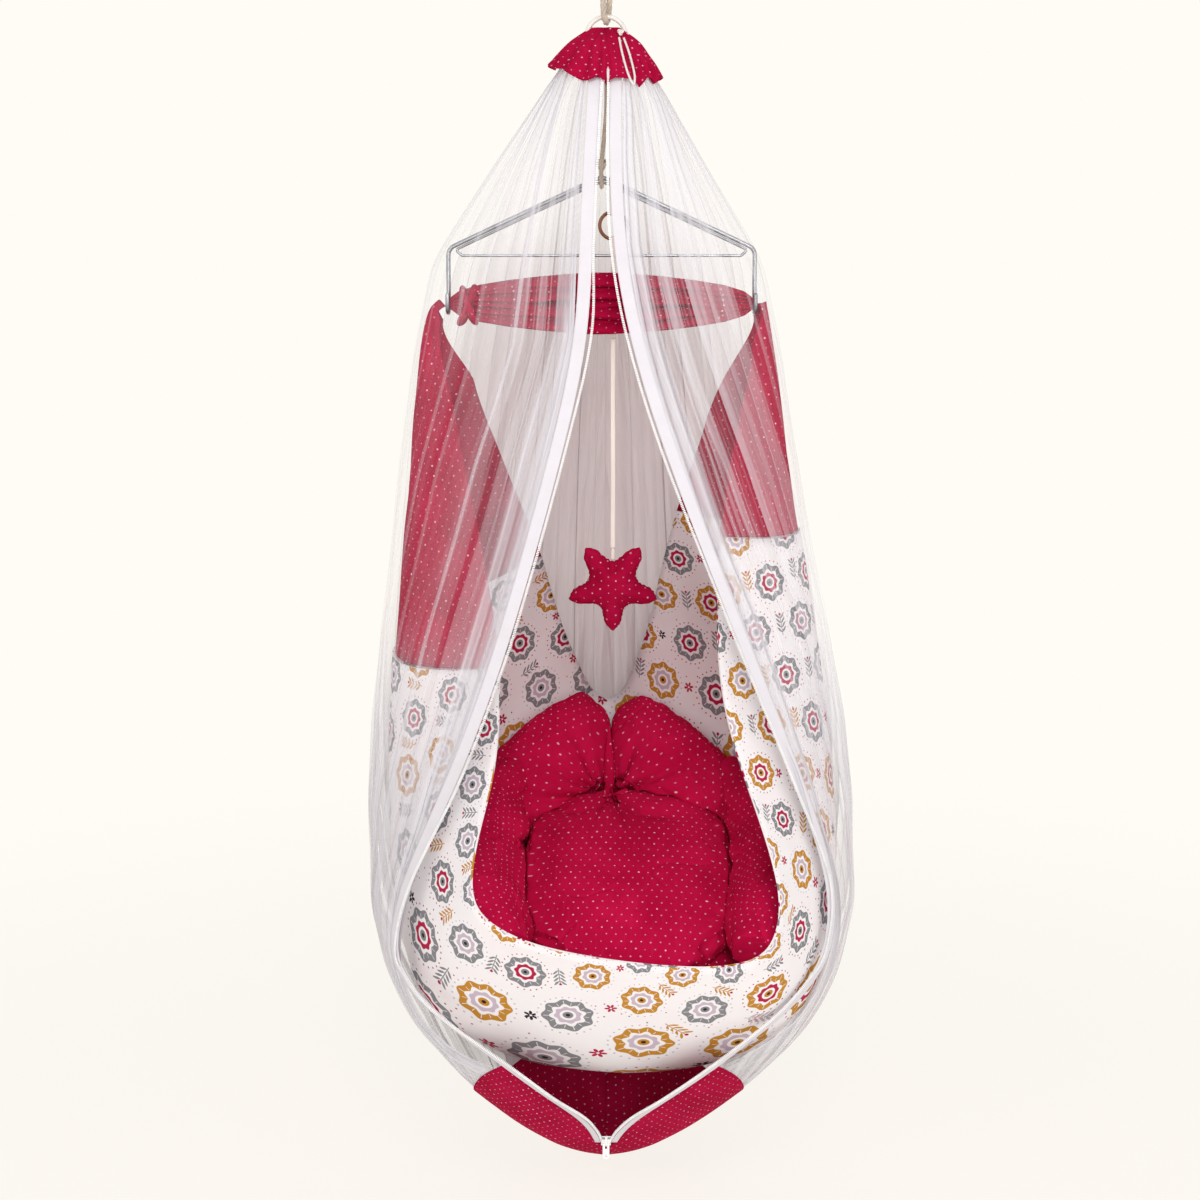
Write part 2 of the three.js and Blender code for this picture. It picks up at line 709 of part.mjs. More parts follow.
// The stuffed star: five swelling points round a fat middle, one point down, on a small loop
function addStar() {
  const loopTop = ribbonBendZ - ribbonBendGap / 2 - ribbonFall - ribbonBendGap;
  const loop = new THREE.CapsuleGeometry(starLoopThickness / 2, starLoopHeight - starLoopThickness, 4, 8);
  loop.scale(starLoopWidth / starLoopThickness, 1, 1);
  loop.rotateX(Math.PI / 2);
  loop.translate(toyX, toyY, loopTop - starLoopHeight / 2);
  piece("star_loop", loop, whiteTape);

  const centreZ = loopTop - starLoopHeight - gap - starNotchRadius;
  const columns = starPoints * starPointColumns;
  const outline = Array.from({ length: columns }, (_, i) => {
    const angle = (2 * Math.PI * i) / columns;
    const wave = (1 + Math.cos(starPoints * angle)) / 2;
    const reach = mix(starNotchRadius, starRadius, wave ** starPointedness);
    return point(reach * Math.sin(angle), 0, -reach * Math.cos(angle));
  });
  const rings = [];
  const [rimPower, crownPower] = starSwell_powers;
  const depthAt = (share) => (starThickness / 2) * (1 - share ** rimPower) ** crownPower;
  rings.push([point(toyX, toyY - starThickness / 2, centreZ)]);
  const ringAt = (share, sign) =>
    outline.map((spot) => {
      const pinch = mix(1, spot.length() / starRadius, share * starPinch_share);
      const depth = toyY + sign * depthAt(share) * pinch;
      return point(toyX + spot.x * share, depth, centreZ + spot.z * share);
    });
  for (const share of starSwell_shares) rings.push(ringAt(share, -1));
  rings.push(ringAt(1, 1));
  for (const share of [...starSwell_shares].reverse()) rings.push(ringAt(share, 1));
  rings.push([point(toyX, toyY + starThickness / 2, centreZ)]);
  piece("star_toy", loft(rings), crimsonCloth);
}

// The swag: the cloth's top run from hook to hook, gathered into pleats that lie along it
function addSwag() {
  const left = hangerCentreX - hangerHalfWidth + gap;
  const right = hangerCentreX + hangerHalfWidth - gap;
  const frontPoints = 2 * swagPleats + 1;
  const endHeight_share = swagHeight_shares[0];
  const rings = swagPlace_shares.map((place, k) => {
    const halfHeight = (swagHeight * swagHeight_shares[k]) / 2;
    const fullness = (swagHeight_shares[k] - endHeight_share) / (1 - endHeight_share);
    const half = mix(bundleWidth, swagThickness, fullness) / 2;
    const x = mix(left, right, place);
    const ring = [];
    for (let i = 0; i < frontPoints; i += 1) {
      const rise = 1 - (2 * i) / (frontPoints - 1);
      const pleat = i % 2 === 0 ? 0 : swagPleatDepth * fullness;
      const round = Math.sqrt(1 - (rise * swagEdge_share) ** 2);
      const depth = mix(1, round, swagRound_share) * half;
      ring.push(point(x, bundleY - depth - pleat / 2, bundleZ + rise * halfHeight));
    }
    ring.push(point(x, bundleY + half * swagRear_share, bundleZ - halfHeight * swagEdge_share));
    ring.push(point(x, bundleY + half, bundleZ));
    ring.push(point(x, bundleY + half * swagRear_share, bundleZ + halfHeight * swagEdge_share));
    return ring;
  });
  piece("top_swag", loft(rings), crimsonCloth);
}

// Outline of the net by height: shares of its height, half width, front and rear depth, lean and doorway
const netDrop_shares = [
  0, netNeckDrop / netHeight, 0.081, 0.156, 0.231, 0.325, 0.454, 0.528, 0.603, 0.697, 0.759, 0.786, 0.813,
  0.854, 0.895, 0.921, 0.941, 0.962, 0.982, 0.995, 1,
];
const netWidth_shares = [
  0.155, 0.225, 0.39, 0.632, 0.712, 0.778, 0.872, 0.925, 0.97, 1, 0.994, 0.966, 0.926, 0.846, 0.71, 0.59,
  0.49, 0.375, 0.24, 0.105, 0.012,
];
const netFront_shares = [
  0.15, 0.25, 0.325, 0.385, 0.458, 0.573, 0.722, 0.806, 0.885, 0.979, 1, 0.975, 0.9375, 0.826, 0.66,
  0.531, 0.424, 0.32, 0.2, 0.087, 0.01,
];
const netRear_shares = [
  0.17, 0.26, 0.36, 0.44, 0.517, 0.65, 0.817, 0.89, 0.95, 1, 1, 0.985, 0.95, 0.85, 0.7, 0.567, 0.457,
  0.343, 0.22, 0.093, 0.01,
];
const netLean_shares = [
  -0.2, -0.25, -0.7, -1, -1, -1, -0.36, 0, 0.36, 0.75, 0.82, 0.82, 0.82, 0.8, 0.55, 0.36, 0.18, 0, 0, 0, 0,
];
const leftDoorway_shares = [
  0.026, 0.022, 0.016, 0.014, 0.016, 0.053, 0.113, 0.15, 0.195, 0.278, 0.325, 0.325, 0.282, 0.168, 0.104,
  0.056, 0.032, 0.016, 0.016, 0.016, 0.016,
];
const rightDoorway_shares = [
  0.026, 0.024, 0.02, 0.022, 0.046, 0.096, 0.168, 0.208, 0.25, 0.315, 0.318, 0.29, 0.245, 0.162, 0.1,
  0.056, 0.032, 0.016, 0.016, 0.016, 0.016,
];
const netSeam_shares = [0.859, 0.905, 0.935, 0.94, 0.935, 0.925, 0.92];
const netFold_shares = [0, 0, 0.6, 0.35, 0.5, 0.65, 0.8, 0.8, 0.8, 0.7, 0.6, 0.6, 0.4, 0];
const tapeTaper_places = [0, 0.801, 0.859, 1];
const tapeTaper_shares = [1, 1, 0, 0];
const baseSeam = (2 * clothGap + baseThickness) / netHeight;
const baseRows_shares = [0, 0.25, 0.44, 0.6, 0.73, 0.78, 0.9, 0.985];
const zipEndRow_share = 0.73;
const zipEnd = mix(netSeam_shares[0] + baseSeam, 1, zipEndRow_share);
const edgeStep_share = 0.004;
const leastSquareness = 0.45;
const neckRows = 2;
const netNeckWidth_shares = [0.735, 1.068];
const netNeckFront_shares = [0.608, 1.014];
const netNeckRear_shares = [0.718, 1.099];

function netLeanAt(drop) {
  return netLean * between(netDrop_shares, netLean_shares, drop);
}

// A row of the net's sizes: its neck follows the collar's hem, and the rest the net's own reach
function netReach(shares, reach, neck_shares) {
  return shares.map((share, k) => (k < neckRows ? collarHemRadius * neck_shares[k] : reach * share));
}

const netWidths = netReach(netWidth_shares, netHalfWidth, netNeckWidth_shares);
const netFronts = netReach(netFront_shares, netFront, netNeckFront_shares);
const netRears = netReach(netRear_shares, netRear, netNeckRear_shares);

// The net's size at a drop below its top
function netSizeAt(drop) {
  return {
    width: between(netDrop_shares, netWidths, drop),
    front: between(netDrop_shares, netFronts, drop),
    rear: between(netDrop_shares, netRears, drop),
    lean: netLeanAt(drop),
    z: netTopZ - drop * netHeight,
  };
}

// A point of the net at a drop and at an angle from the front, pushed in by a fold
function netPoint(side, drop, angle, fold = 0) {
  const { width, front, rear, lean, z } = netSizeAt(drop);
  const depth = angle < Math.PI / 2 ? front : rear;
  const x = (width - fold) * Math.sin(angle);
  return point(lean * Math.sin(angle / 2 + Math.PI / 4) + side * x, -(depth - fold) * Math.cos(angle), z);
}

// How far a turn of one radian moves along the net, for placing things beside its edge
function netTurnLength(drop, angle) {
  const { width, front, rear } = netSizeAt(drop);
  const depth = angle < Math.PI / 2 ? front : rear;
  return Math.hypot(width * Math.cos(angle), depth * Math.sin(angle));
}

// The doorway's edge as an angle from the front
function doorwayEdge(side, drop) {
  const shares = side < 0 ? leftDoorway_shares : rightDoorway_shares;
  return Math.PI * between(netDrop_shares, shares, drop);
}

// The doorway's edge moved round the net by a width that is measured square to it
function doorwayAngle(side, drop, moved = 0) {
  const angle = doorwayEdge(side, drop);
  return angle + (moved * doorwayStretch(side, drop)) / netTurnLength(drop, angle);
}

// How much longer a level step round the net is than a step square to the doorway's edge
function doorwayStretch(side, drop) {
  const ends = [-1, 1].map((way) => {
    const place = THREE.MathUtils.clamp(drop + way * edgeStep_share, 0, 1);
    return netPoint(side, place, doorwayEdge(side, place));
  });
  const edge = ends[1].sub(ends[0]).normalize();
  const start = netPoint(side, drop, doorwayEdge(side, drop));
  const level = netPoint(side, drop, doorwayEdge(side, drop) + edgeStep_share).sub(start).normalize();
  const square = Math.sqrt(1 - edge.dot(level) ** 2);
  return 1 / Math.max(square, leastSquareness);
}

// The zip tape's width, which narrows where the tape runs behind the cloth of the base
function tapeWidthAt(drop) {
  return mix(baseTapeWidth, tapeWidth, between(tapeTaper_places, tapeTaper_shares, drop));
}

// Guide lines of the sling, from the left hook down to the bottom: shares of its half width, depth and fall
const leftFront_shares = [0.7, 0.64, 0.535, 0.45, 0.475, 0.55, 0.6, 0.38, 0];
const rightFront_shares = [0.7, 0.64, 0.535, 0.47, 0.55, 0.65, 0.71, 0.6, 0];
const frontDepth_shares = [-0.085, -0.18, -0.34, -0.55, -0.7, -0.82, -0.91, -0.98, -1];
const leftFall_shares = [0.012, 0.09, 0.24, 0.44, 0.552, 0.634, 0.725, 0.765, 0.787];
const rightFall_shares = [0.012, 0.09, 0.24, 0.44, 0.56, 0.643, 0.737, 0.797, 0.787];
const middleWidth_shares = [0.715, 0.77, 0.855, 0.945, 0.985, 0.975, 0.85, 0.47, 0];
const middleDepth_shares = [-0.045, -0.02, 0, 0, 0, 0, -0.02, -0.03, -0.04];
const middleFall_shares = [0.01, 0.09, 0.24, 0.44, 0.576, 0.722, 0.897, 0.98, 1];
const rearWidth_shares = [0.7, 0.57, 0.45, 0.29, 0.21, 0.14, 0.085, 0.04, 0];
const rearDepth_shares = [-0.01, 0.16, 0.28, 0.56, 0.74, 0.86, 0.94, 0.98, 1];
const rearFall_shares = [0.012, 0.09, 0.19, 0.342, 0.45, 0.51, 0.55, 0.566, 0.571];
const leftSeam_shares = [0.225, 0.225, 0.225];
const rightSeam_shares = [0.18, 0.18, 0.2];
const seamHalfRun = clothGap / slingFall / slingTurns;

// A guide line over both hooks and under the bottom, as a smooth curve
function slingGuide(widths, depths, falls, bundlePart) {
  const start = point(hangerHalfWidth + bundleLap, bundleY + (bundlePart * bundleWidth) / 2, bundleZ);
  const halfOf = (side) => {
    const pick = side < 0 ? "left" : "right";
    return [
      point(side * start.x, start.y, start.z),
      ...widths[pick].map((width, k) => {
        const depth = depths[k] < 0 ? slingFront * depths[k] : slingRear * depths[k];
        return point(side * width * slingHalfWidth, depth, bundleZ - falls[pick][k] * slingFall);
      }),
    ];
  };
  const all = [...halfOf(-1), ...halfOf(1).reverse().slice(1)];
  for (const spot of all) spot.x += slingLean(spot.z);
  return new THREE.CatmullRomCurve3(all, false, "centripetal");
}

function alike(shares) {
  return { left: shares, right: shares };
}

// How far the cloth's middle stands to one side at a height
function slingLean(z) {
  return z > bundleZ - overrun ? hangerCentreX : netLeanAt((netTopZ - z) / netHeight);
}

const slingGuides = [
  slingGuide(
    { left: leftFront_shares, right: rightFront_shares },
    frontDepth_shares,
    { left: leftFall_shares, right: rightFall_shares },
    -1,
  ),
  slingGuide(alike(middleWidth_shares), middleDepth_shares, alike(middleFall_shares), 0),
  slingGuide(alike(rearWidth_shares), rearDepth_shares, alike(rearFall_shares), 1),
];

// A point of the sling's middle surface, from hook to hook and from the front edge to the rear one
function slingPoint(run, across) {
  const [front, middle, rear] = slingGuides.map((guide) => guide.getPoint(run));
  const frontPull = 2 * (across - 0.5) * (across - 1);
  const middlePull = 4 * across * (1 - across);
  const rearPull = 2 * across * (across - 0.5);
  const spot = front.multiplyScalar(frontPull).addScaledVector(middle, middlePull);
  return spot.addScaledVector(rear, rearPull);
}

// A stretch of the sling as a thin solid, from one line across it to another
function slingSheet(startAt, endAt, rows, columns, extra = 0) {
  const grid = [];
  const runs = [];
  for (let i = 0; i <= rows; i += 1) {
    const row = [];
    for (let j = 0; j <= columns; j += 1) {
      const across = j / columns;
      const run = mix(startAt(across), endAt(across), i / rows);
      row.push(slingPoint(run, across));
      if (j === 0) runs.push(run);
    }
    grid.push(row);
  }
  const swollen = bundleHeight / 2 - slingThickness / 2;
  const half = (i) => {
    const fromHook = Math.min(runs[i], 1 - runs[i]) / hookFlare_share;
    return slingThickness / 2 + swollen * Math.max(0, 1 - fromHook) ** 2 + extra;
  };
  return sheet(grid, half);
}

// The sling: a crimson panel up to each hook and the printed body that holds the nest
function addSling() {
  const leftEnd = (across) => along(leftSeam_shares, across) - seamHalfRun;
  const rightEnd = (across) => 1 - along(rightSeam_shares, across) + seamHalfRun;
  piece("left_side_panel", slingSheet(() => 0, leftEnd, panelRows, panelColumns), crimsonCloth);
  piece("right_side_panel", slingSheet(rightEnd, () => 1, panelRows, panelColumns), crimsonCloth);
  piece("sling_body", slingBody(0), printedCloth);
}

// The sling's printed body between the two seams, thickened where it is wanted as a cutter
function slingBody(extra) {
  const start = (across) => along(leftSeam_shares, across) + seamHalfRun;
  const end = (across) => 1 - along(rightSeam_shares, across) - seamHalfRun;
  return slingSheet(start, end, slingRows, slingColumns, extra);
}

// A crowned pad from an outline, flat in X and Y about the origin until it is tilted and placed
function pad({ reach, halfThickness, columns, grow = 0, crown = padCrown_power, dent = () => 0 }) {
  const depthAt = (share) => (halfThickness + grow) * (1 - share ** padRim_power) ** crown;
  const ringAt = (share, sign) =>
    Array.from({ length: columns }, (_, i) => {
      const angle = (2 * Math.PI * i) / columns;
      const out = (reach(angle) + grow) * share;
      const spot = point(out * Math.cos(angle), out * Math.sin(angle), sign * depthAt(share));
      if (sign > 0) spot.z -= dent(spot.x, spot.y) * (1 - share ** rimStiffness);
      return spot;
    });
  const top = point(0, 0, halfThickness + grow - dent(0, 0));
  const rings = [[point(0, 0, -halfThickness - grow)]];
  for (const share of padRing_shares) rings.push(ringAt(share, -1));
  rings.push(ringAt(1, 1));
  for (const share of [...padRing_shares].reverse()) rings.push(ringAt(share, 1));
  rings.push([top]);
  return loft(rings);
}

// The reach of a rounded oblong from its middle, in one direction
function roundedReach(halfWidth, halfLength, angle, squareness) {
  const across = Math.abs(Math.cos(angle) / halfWidth) ** squareness;
  const down = Math.abs(Math.sin(angle) / halfLength) ** squareness;
  return (across + down) ** (-1 / squareness);
}

// The mattress, with the tuft's dimple at its head, which the cutters of its neighbours do without
function padGeometry(grow) {
  const headY = padHalfLength - padTuftRadius / 2;
  const geometry = pad({
    reach: (angle) => roundedReach(padHalfWidth, padHalfLength, angle, padSquareness),
    halfThickness: padThickness / 2,
    columns: padColumns,
    grow,
    dent: (x, y) => {
      const fromTuft = (x * x + (y - headY) ** 2) / padTuftRadius ** 2;
      return grow > 0 ? 0 : padTuftDepth * Math.exp(-tuftSteepness * fromTuft);
    },
  });
  geometry.rotateX(degrees(padTiltDegrees));
  geometry.translate(padX, padY, slingBottomZ + padLift);
  return geometry;
}

// One of the two pillows behind the head, which slopes down and outward from the middle
function lobeGeometry(side, grow) {
  const geometry = pad({
    reach: (angle) => roundedReach(lobeHalfWidth, lobeHalfHeight, angle, padSquareness),
    halfThickness: lobeThickness / 2,
    columns: lobeColumns,
    grow,
    crown: lobeCrown_power,
  });
  geometry.applyMatrix4(new THREE.Matrix4().makeShear(side * lobeSlope, 0, 0, 0, 0, 0));
  geometry.rotateX(degrees(90 - lobeTiltDegrees));
  geometry.rotateZ(degrees(side * lobeYawDegrees));
  geometry.translate(padX * lobeMiddle_share - side * lobeSpacing, lobeY, slingBottomZ + lobeLift);
  return geometry;
}

// A side bolster: a stuffed roll from the front lip to the pillows, tapering at both ends
function bolsterGeometry(side, radius, grow) {
  const width_shares = side < 0 ? leftBolsterWidth_shares : rightBolsterWidth_shares;
  const lean = netLeanAt((netTopZ - slingBottomZ - padLift) / netHeight);
  const route = width_shares.map((share, k) => {
    const depth = bolsterDepth_shares[k] < 0 ? slingFront : slingRear;
    const z = bundleZ - bolsterFall_shares[k] * slingFall;
    return point(side * share * slingHalfWidth + lean, bolsterDepth_shares[k] * depth, z);
  });
  const line = new THREE.CatmullRomCurve3(route).getSpacedPoints(bolsterSteps);
  return rodAlong(line, (share) => radius * along(bolsterSize_shares, share) + grow, rodSides);
}

// The stuffed cushion under the mattress, which fills the sling's belly
function coreGeometry() {
  const geometry = pad({
    reach: (angle) => roundedReach(coreHalfWidth, coreHalfLength, angle, coreSquareness),
    halfThickness: coreHalfHeight,
    columns: coreColumns,
    crown: coreCrown_power,
  });
  geometry.rotateX(degrees(padTiltDegrees / 2));
  geometry.translate(padX * coreMiddle_share, padY / 2, slingBottomZ + coreLift);
  return geometry;
}

// The nest's cushions, each cut clear of the cloth and of its neighbours
function addCushions() {
  const cloth = slingBody(cushionGap);
  const mattress = cutBy(padGeometry(0), cloth);
  piece("mattress_pad", mattress, crimsonCloth);
  const grownPad = padGeometry(cushionGap);
  const leftLobe = cutBy(lobeGeometry(1, 0), cloth, grownPad);
  const rightLobe = cutBy(lobeGeometry(-1, 0), cloth, grownPad, lobeGeometry(1, cushionGap));
  piece("left_back_pillow", leftLobe, crimsonCloth);
  piece("right_back_pillow", rightLobe, crimsonCloth);
  const lobes = [lobeGeometry(1, cushionGap), lobeGeometry(-1, cushionGap)];
  const leftRoll = bolsterGeometry(-1, leftBolsterRadius, 0);
  const rightRoll = bolsterGeometry(1, rightBolsterRadius, 0);
  piece("left_bolster", cutBy(leftRoll, cloth, grownPad, ...lobes), crimsonCloth);
  piece("right_bolster", cutBy(rightRoll, cloth, grownPad, ...lobes), crimsonCloth);
  const rolls = [
    bolsterGeometry(-1, leftBolsterRadius, cushionGap),
    bolsterGeometry(1, rightBolsterRadius, cushionGap),
  ];
  const core = cutBy(coreGeometry(), cloth, grownPad, ...lobes, ...rolls);
  piece("nest_base_cushion", core, crimsonCloth);
}

// One half of the net or of its base, from the doorway's tape to the back seam
function netHalf({ side, rows, columns, dropAt, foldAt, openTo }) {
  return rows.map((row) => {
    const line = [];
    for (let j = 0; j <= columns; j += 1) {
      const round = j / columns;
      const drop = dropAt(row, round);
      const frontDrop = dropAt(row, 0);
      const tape = tapeWidthAt(frontDrop) + clothGap;
      const open = row <= openTo ? doorwayAngle(side, frontDrop, tape) : 0;
      const pleat = (1 - Math.cos(2 * Math.PI * netPleats * round)) / 2;
      line.push(netPoint(side, drop, mix(open, Math.PI, round), netPleatDepth * pleat * foldAt(row)));
      line[j].x += side * backSeamHalfGap;
    }
    return line;
  });
}

const panelDrop_shares = netDrop_shares.slice(0, netFold_shares.length);
const netRows = panelDrop_shares.map((drop) => drop / panelDrop_shares[panelDrop_shares.length - 1]);
const seamAt = (round) => along(netSeam_shares, round);
const netFrontDrops = netRows.map((row) => row * seamAt(0));
const baseFrontDrops = baseRows_shares.map((row) => mix(seamAt(0) + baseSeam, 1, row));

function addNet() {
  for (const side of [-1, 1]) {
    const name = side < 0 ? "left" : "right";
    const panel = netHalf({
      side,
      rows: netRows,
      columns: 4 * netPleats,
      dropAt: (row, round) => row * seamAt(round),
      foldAt: (row) => between(netRows, netFold_shares, row),
      openTo: 1,
    });
    piece(name + "_net_panel", sheet(panel, netThickness / 2), netCloth);
    const base = netHalf({
      side,
      rows: baseRows_shares,
      columns: 2 * netPleats,
      dropAt: (row, round) => mix(seamAt(round) + baseSeam, 1, row),
      foldAt: () => 0,
      openTo: zipEndRow_share,
    });
    piece(name + "_net_base", sheet(base, baseThickness / 2), crimsonCloth);
  }
}

// Outline of the collar by its fall: how far it has widened and deepened
const collarFall_shares = [0, 0.25, 0.6, 1];
const collarWidth_shares = [0, 0.2, 0.56, 1];
const collarDepth_shares = [0, 0.25, 0.62, 1];

// A point on the collar's outside, at a share of its fall and an angle from the front, moved outward
function collarPoint(fall, angle, out = 0) {
  const wide = between(collarFall_shares, collarWidth_shares, fall);
  const deep = between(collarFall_shares, collarDepth_shares, fall);
  const pleat = (collarPleatDepth * fall * (1 - Math.cos(collarPleats * angle))) / 2 + out;
  const dip = collarFrontDip * fall ** 2 * ((1 + Math.cos(angle)) / 2) ** 2;
  const tilt = collarTilt * fall * Math.sin(angle);
  return point(
    (mix(collarTopHalfWidth, collarHemRadius, wide) + pleat) * Math.sin(angle),
    -(mix(collarTopHalfDepth, collarHemRadius, deep) + pleat) * Math.cos(angle),
    collarTopZ - fall * collarHeight - dip - tilt,
  );
}

// The collar: a gathered cone round the ring, open at both ends, with a hem that dips at the front
function addCollar() {
  const columns = 3 * collarPleats;
  const outside = collarFall_shares.map((fall) =>
    Array.from({ length: columns }, (_, i) => collarPoint(fall, (2 * Math.PI * i) / columns)),
  );
  const inside = outside.map((ring) =>
    ring.map((spot) => {
      const shrink = 1 - collarThickness / Math.hypot(spot.x, spot.y);
      return point(spot.x * shrink, spot.y * shrink, spot.z);
    }),
  );
  piece("net_collar", loft([...outside, ...inside.reverse()], true), crimsonCloth);
}

// The drawstring that gathers the collar: a knot with a loop that hangs over the cloth
function addDrawstring() {
  const knotTurn = Math.PI * drawstringKnotTurn_share;
  const knotOut = drawstringKnotRadius + drawstringStandOff;
  const knotAt = collarPoint(drawstringKnotFall_share, knotTurn, knotOut);
  const knot = new THREE.SphereGeometry(drawstringKnotRadius, 12, 8);
  knot.scale(...drawstringKnotScale_shares);
  knot.translate(knotAt.x, knotAt.y, knotAt.z);
  piece("drawstring_knot", knot, ropeCord);
  const lie = drawstringRadius + drawstringStandOff;
  const route = drawstringFall_shares.map((fall, k) => {
    return collarPoint(fall, Math.PI * drawstringTurn_shares[k], lie);
  });
  const line = new THREE.CatmullRomCurve3(route).getSpacedPoints(drawstringSteps);
  piece("net_drawstring", rodAlong(line, drawstringRadius, 6), ropeCord);
}

// The zip: a tape and a row of teeth along each edge of the doorway
function addZip() {
  const baseCount = baseRows_shares.indexOf(zipEndRow_share) + 1;
  const drops = [...netFrontDrops, ...baseFrontDrops.slice(0, baseCount)];
  for (const side of [-1, 1]) {
    const name = side < 0 ? "left" : "right";
    const edgePoint = (drop, moved) => {
      const spot = netPoint(side, drop, doorwayAngle(side, drop, moved));
      spot.x += side * backSeamHalfGap;
      return spot;
    };
    const grid = drops.map((drop) => [edgePoint(drop, 0), edgePoint(drop, tapeWidthAt(drop))]);
    piece(name + "_zip_tape", sheet(grid, tapeThickness / 2), whiteTape);
    const line = drops.map((drop) => edgePoint(drop, -chainRadius - clothGap));
    piece(name + "_zip_teeth", rodAlong(line, chainRadius, 6), whitePlastic);
  }
}

// The zip's slider at the foot of the doorway: two plates held apart by a post, with a bridge for the tab
function addSlider() {
  const foot = netPoint(1, zipEnd, 0);
  const up = netPoint(1, zipEnd - edgeStep_share, 0).sub(foot).normalize();
  const out = point(0, up.z, -up.y).multiplyScalar(-1);
  const middle = foot.clone().addScaledVector(up, sliderHeight / 2 - sliderLap);
  const frame = new THREE.Matrix4().makeBasis(point(1, 0, 0), up.clone().negate(), out.clone());
  if (frame.determinant() < 0) frame.makeBasis(point(1, 0, 0), up.clone(), out.clone());
  frame.setPosition(middle);
  const half = chainRadius + clothGap;
  const plateAt = (height) => {
    const plate = new THREE.BoxGeometry(sliderWidth, sliderHeight, sliderPlate);
    plate.translate(0, 0, height);
    return plate;
  };
  const post = new THREE.BoxGeometry(sliderPostWidth, sliderHeight / 3, 2 * half + sliderPlate);
  post.translate(0, sliderHeight / 4, 0);
  const roof = half + sliderPlate;
  const bridgeLine = bridgeSpan_shares.map((share) => {
    const rise = bridgeRise * Math.sqrt(1 - share ** 2);
    const foot = (sliderPlate / 2) * share ** 2;
    return point(0, share * bridgeHalfSpan, roof + rise - foot);
  });
  const bridgeCurve = new THREE.CatmullRomCurve3(bridgeLine).getSpacedPoints(bridgeSteps);
  const bridge = rodAlong(bridgeCurve, bridgeRadius, 6);
  const lift = half + sliderPlate / 2;
  const slider = joined(plateAt(lift), plateAt(-lift), post, bridge);
  slider.applyMatrix4(frame);
  piece("zip_slider", slider, whitePlastic);

  const pivot = middle.clone().addScaledVector(out, roof + (bridgeRise - bridgeRadius) / 2);
  const outline = new THREE.Shape();
  const top = tabBar / 2;
  const turn = tabWidth / 2;
  outline.moveTo(-turn + tabCorner, top);
  outline.lineTo(-turn, top - tabCorner);
  outline.lineTo(-turn, top - tabLength + turn);
  outline.absarc(0, top - tabLength + turn, turn, Math.PI, 2 * Math.PI, false);
  outline.lineTo(turn, top - tabCorner);
  outline.lineTo(turn - tabCorner, top);
  const slot = new THREE.Path();
  slot.moveTo(-tabSlotWidth / 2, -top);
  slot.lineTo(tabSlotWidth / 2, -top);
  slot.lineTo(tabSlotWidth / 2, -top - tabSlotLength);
  slot.lineTo(-tabSlotWidth / 2, -top - tabSlotLength);
  outline.holes.push(slot);
  const eye = new THREE.Path();
  eye.absarc(0, top - tabLength + turn, tabHoleRadius, 0, 2 * Math.PI, false);
  outline.holes.push(eye);
  const tab = new THREE.ExtrudeGeometry(outline, {
    depth: tabThickness,
    bevelEnabled: false,
    curveSegments: 10,
  });
  tab.rotateX(Math.PI / 2);
  tab.translate(pivot.x, pivot.y + tabThickness / 2, pivot.z);
  piece("zip_pull_tab", tab, whitePlastic);
}

addCeilingFitting();
addUpperRope();
addRing();
addLowerRope();
addBow();
addBrace();
addToyHanging();
addStar();
addSwag();
addSling();
addCushions();
addNet();
addCollar();
addDrawstring();
addZip();
addSlider();

export default root;
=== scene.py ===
"""Looks of a hanging baby cradle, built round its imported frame: cloth, cushions, net, ropes and light.

Metres, +Z up, front towards -Y. Sizes that the frame holds are read from it.
"""

import itertools
import json
import math
from functools import partialmethod

import bmesh
import bpy
import numpy as np
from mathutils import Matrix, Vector, noise
from mathutils.bvhtree import BVHTree


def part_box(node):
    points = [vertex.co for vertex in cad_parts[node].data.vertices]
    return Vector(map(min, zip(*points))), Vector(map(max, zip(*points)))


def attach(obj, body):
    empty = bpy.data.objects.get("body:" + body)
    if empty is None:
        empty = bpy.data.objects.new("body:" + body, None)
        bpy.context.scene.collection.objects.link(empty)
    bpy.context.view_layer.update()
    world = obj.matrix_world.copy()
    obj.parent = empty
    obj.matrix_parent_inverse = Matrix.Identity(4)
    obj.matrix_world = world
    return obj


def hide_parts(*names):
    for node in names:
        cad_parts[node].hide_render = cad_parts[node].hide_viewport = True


MM = 0.001
WELD = 0.01 * MM
SIDES = {"left": -1, "right": 1}

# Camera, as the photograph was taken
CAMERA_DISTANCE = 3.0
CAMERA_ELEVATION = 10
CAMERA_TARGET = (-0.008, 0, -0.88)
LENS = 67.5
SENSOR = 36

# Light and surroundings
FLOOR_GLOW = 0.84
FLOOR_Z = -1.705
FLOOR_RADIUS = 9.0
FLOOR_STEPS = 96
FLOOR_FADE_FROM = 0.5
FLOOR_FADE_TO = 2.4
WORLD_LIGHT = 0.49
# Each lamp's place, the height on the cradle's axis that it looks at, its size and its power
LAMPS = {
    "front": ((0.25, -3.4, 0), -1.0, 1.2, 26),
    "high": ((0.2, -3.0, 1.3), -1.1, 1.0, 35),
    "key": ((-2.4, -2.8, 0.2), -0.9, 1.4, 24),
    "fill": ((2.8, -2.4, -0.6), -1.0, 2.2, 24),
    "top": ((0.2, 0.4, 2.2), -0.9, 1.6, 11),
}

# Ropes and cords
ROPE_DIAMETER = 8 * MM
LOWER_ROPE_DIAMETER = 6 * MM
DRAWSTRING_DIAMETER = 3 * MM
DRAWSTRING_BEARING = 0.46
DRAWSTRING_LAY = 8 * MM
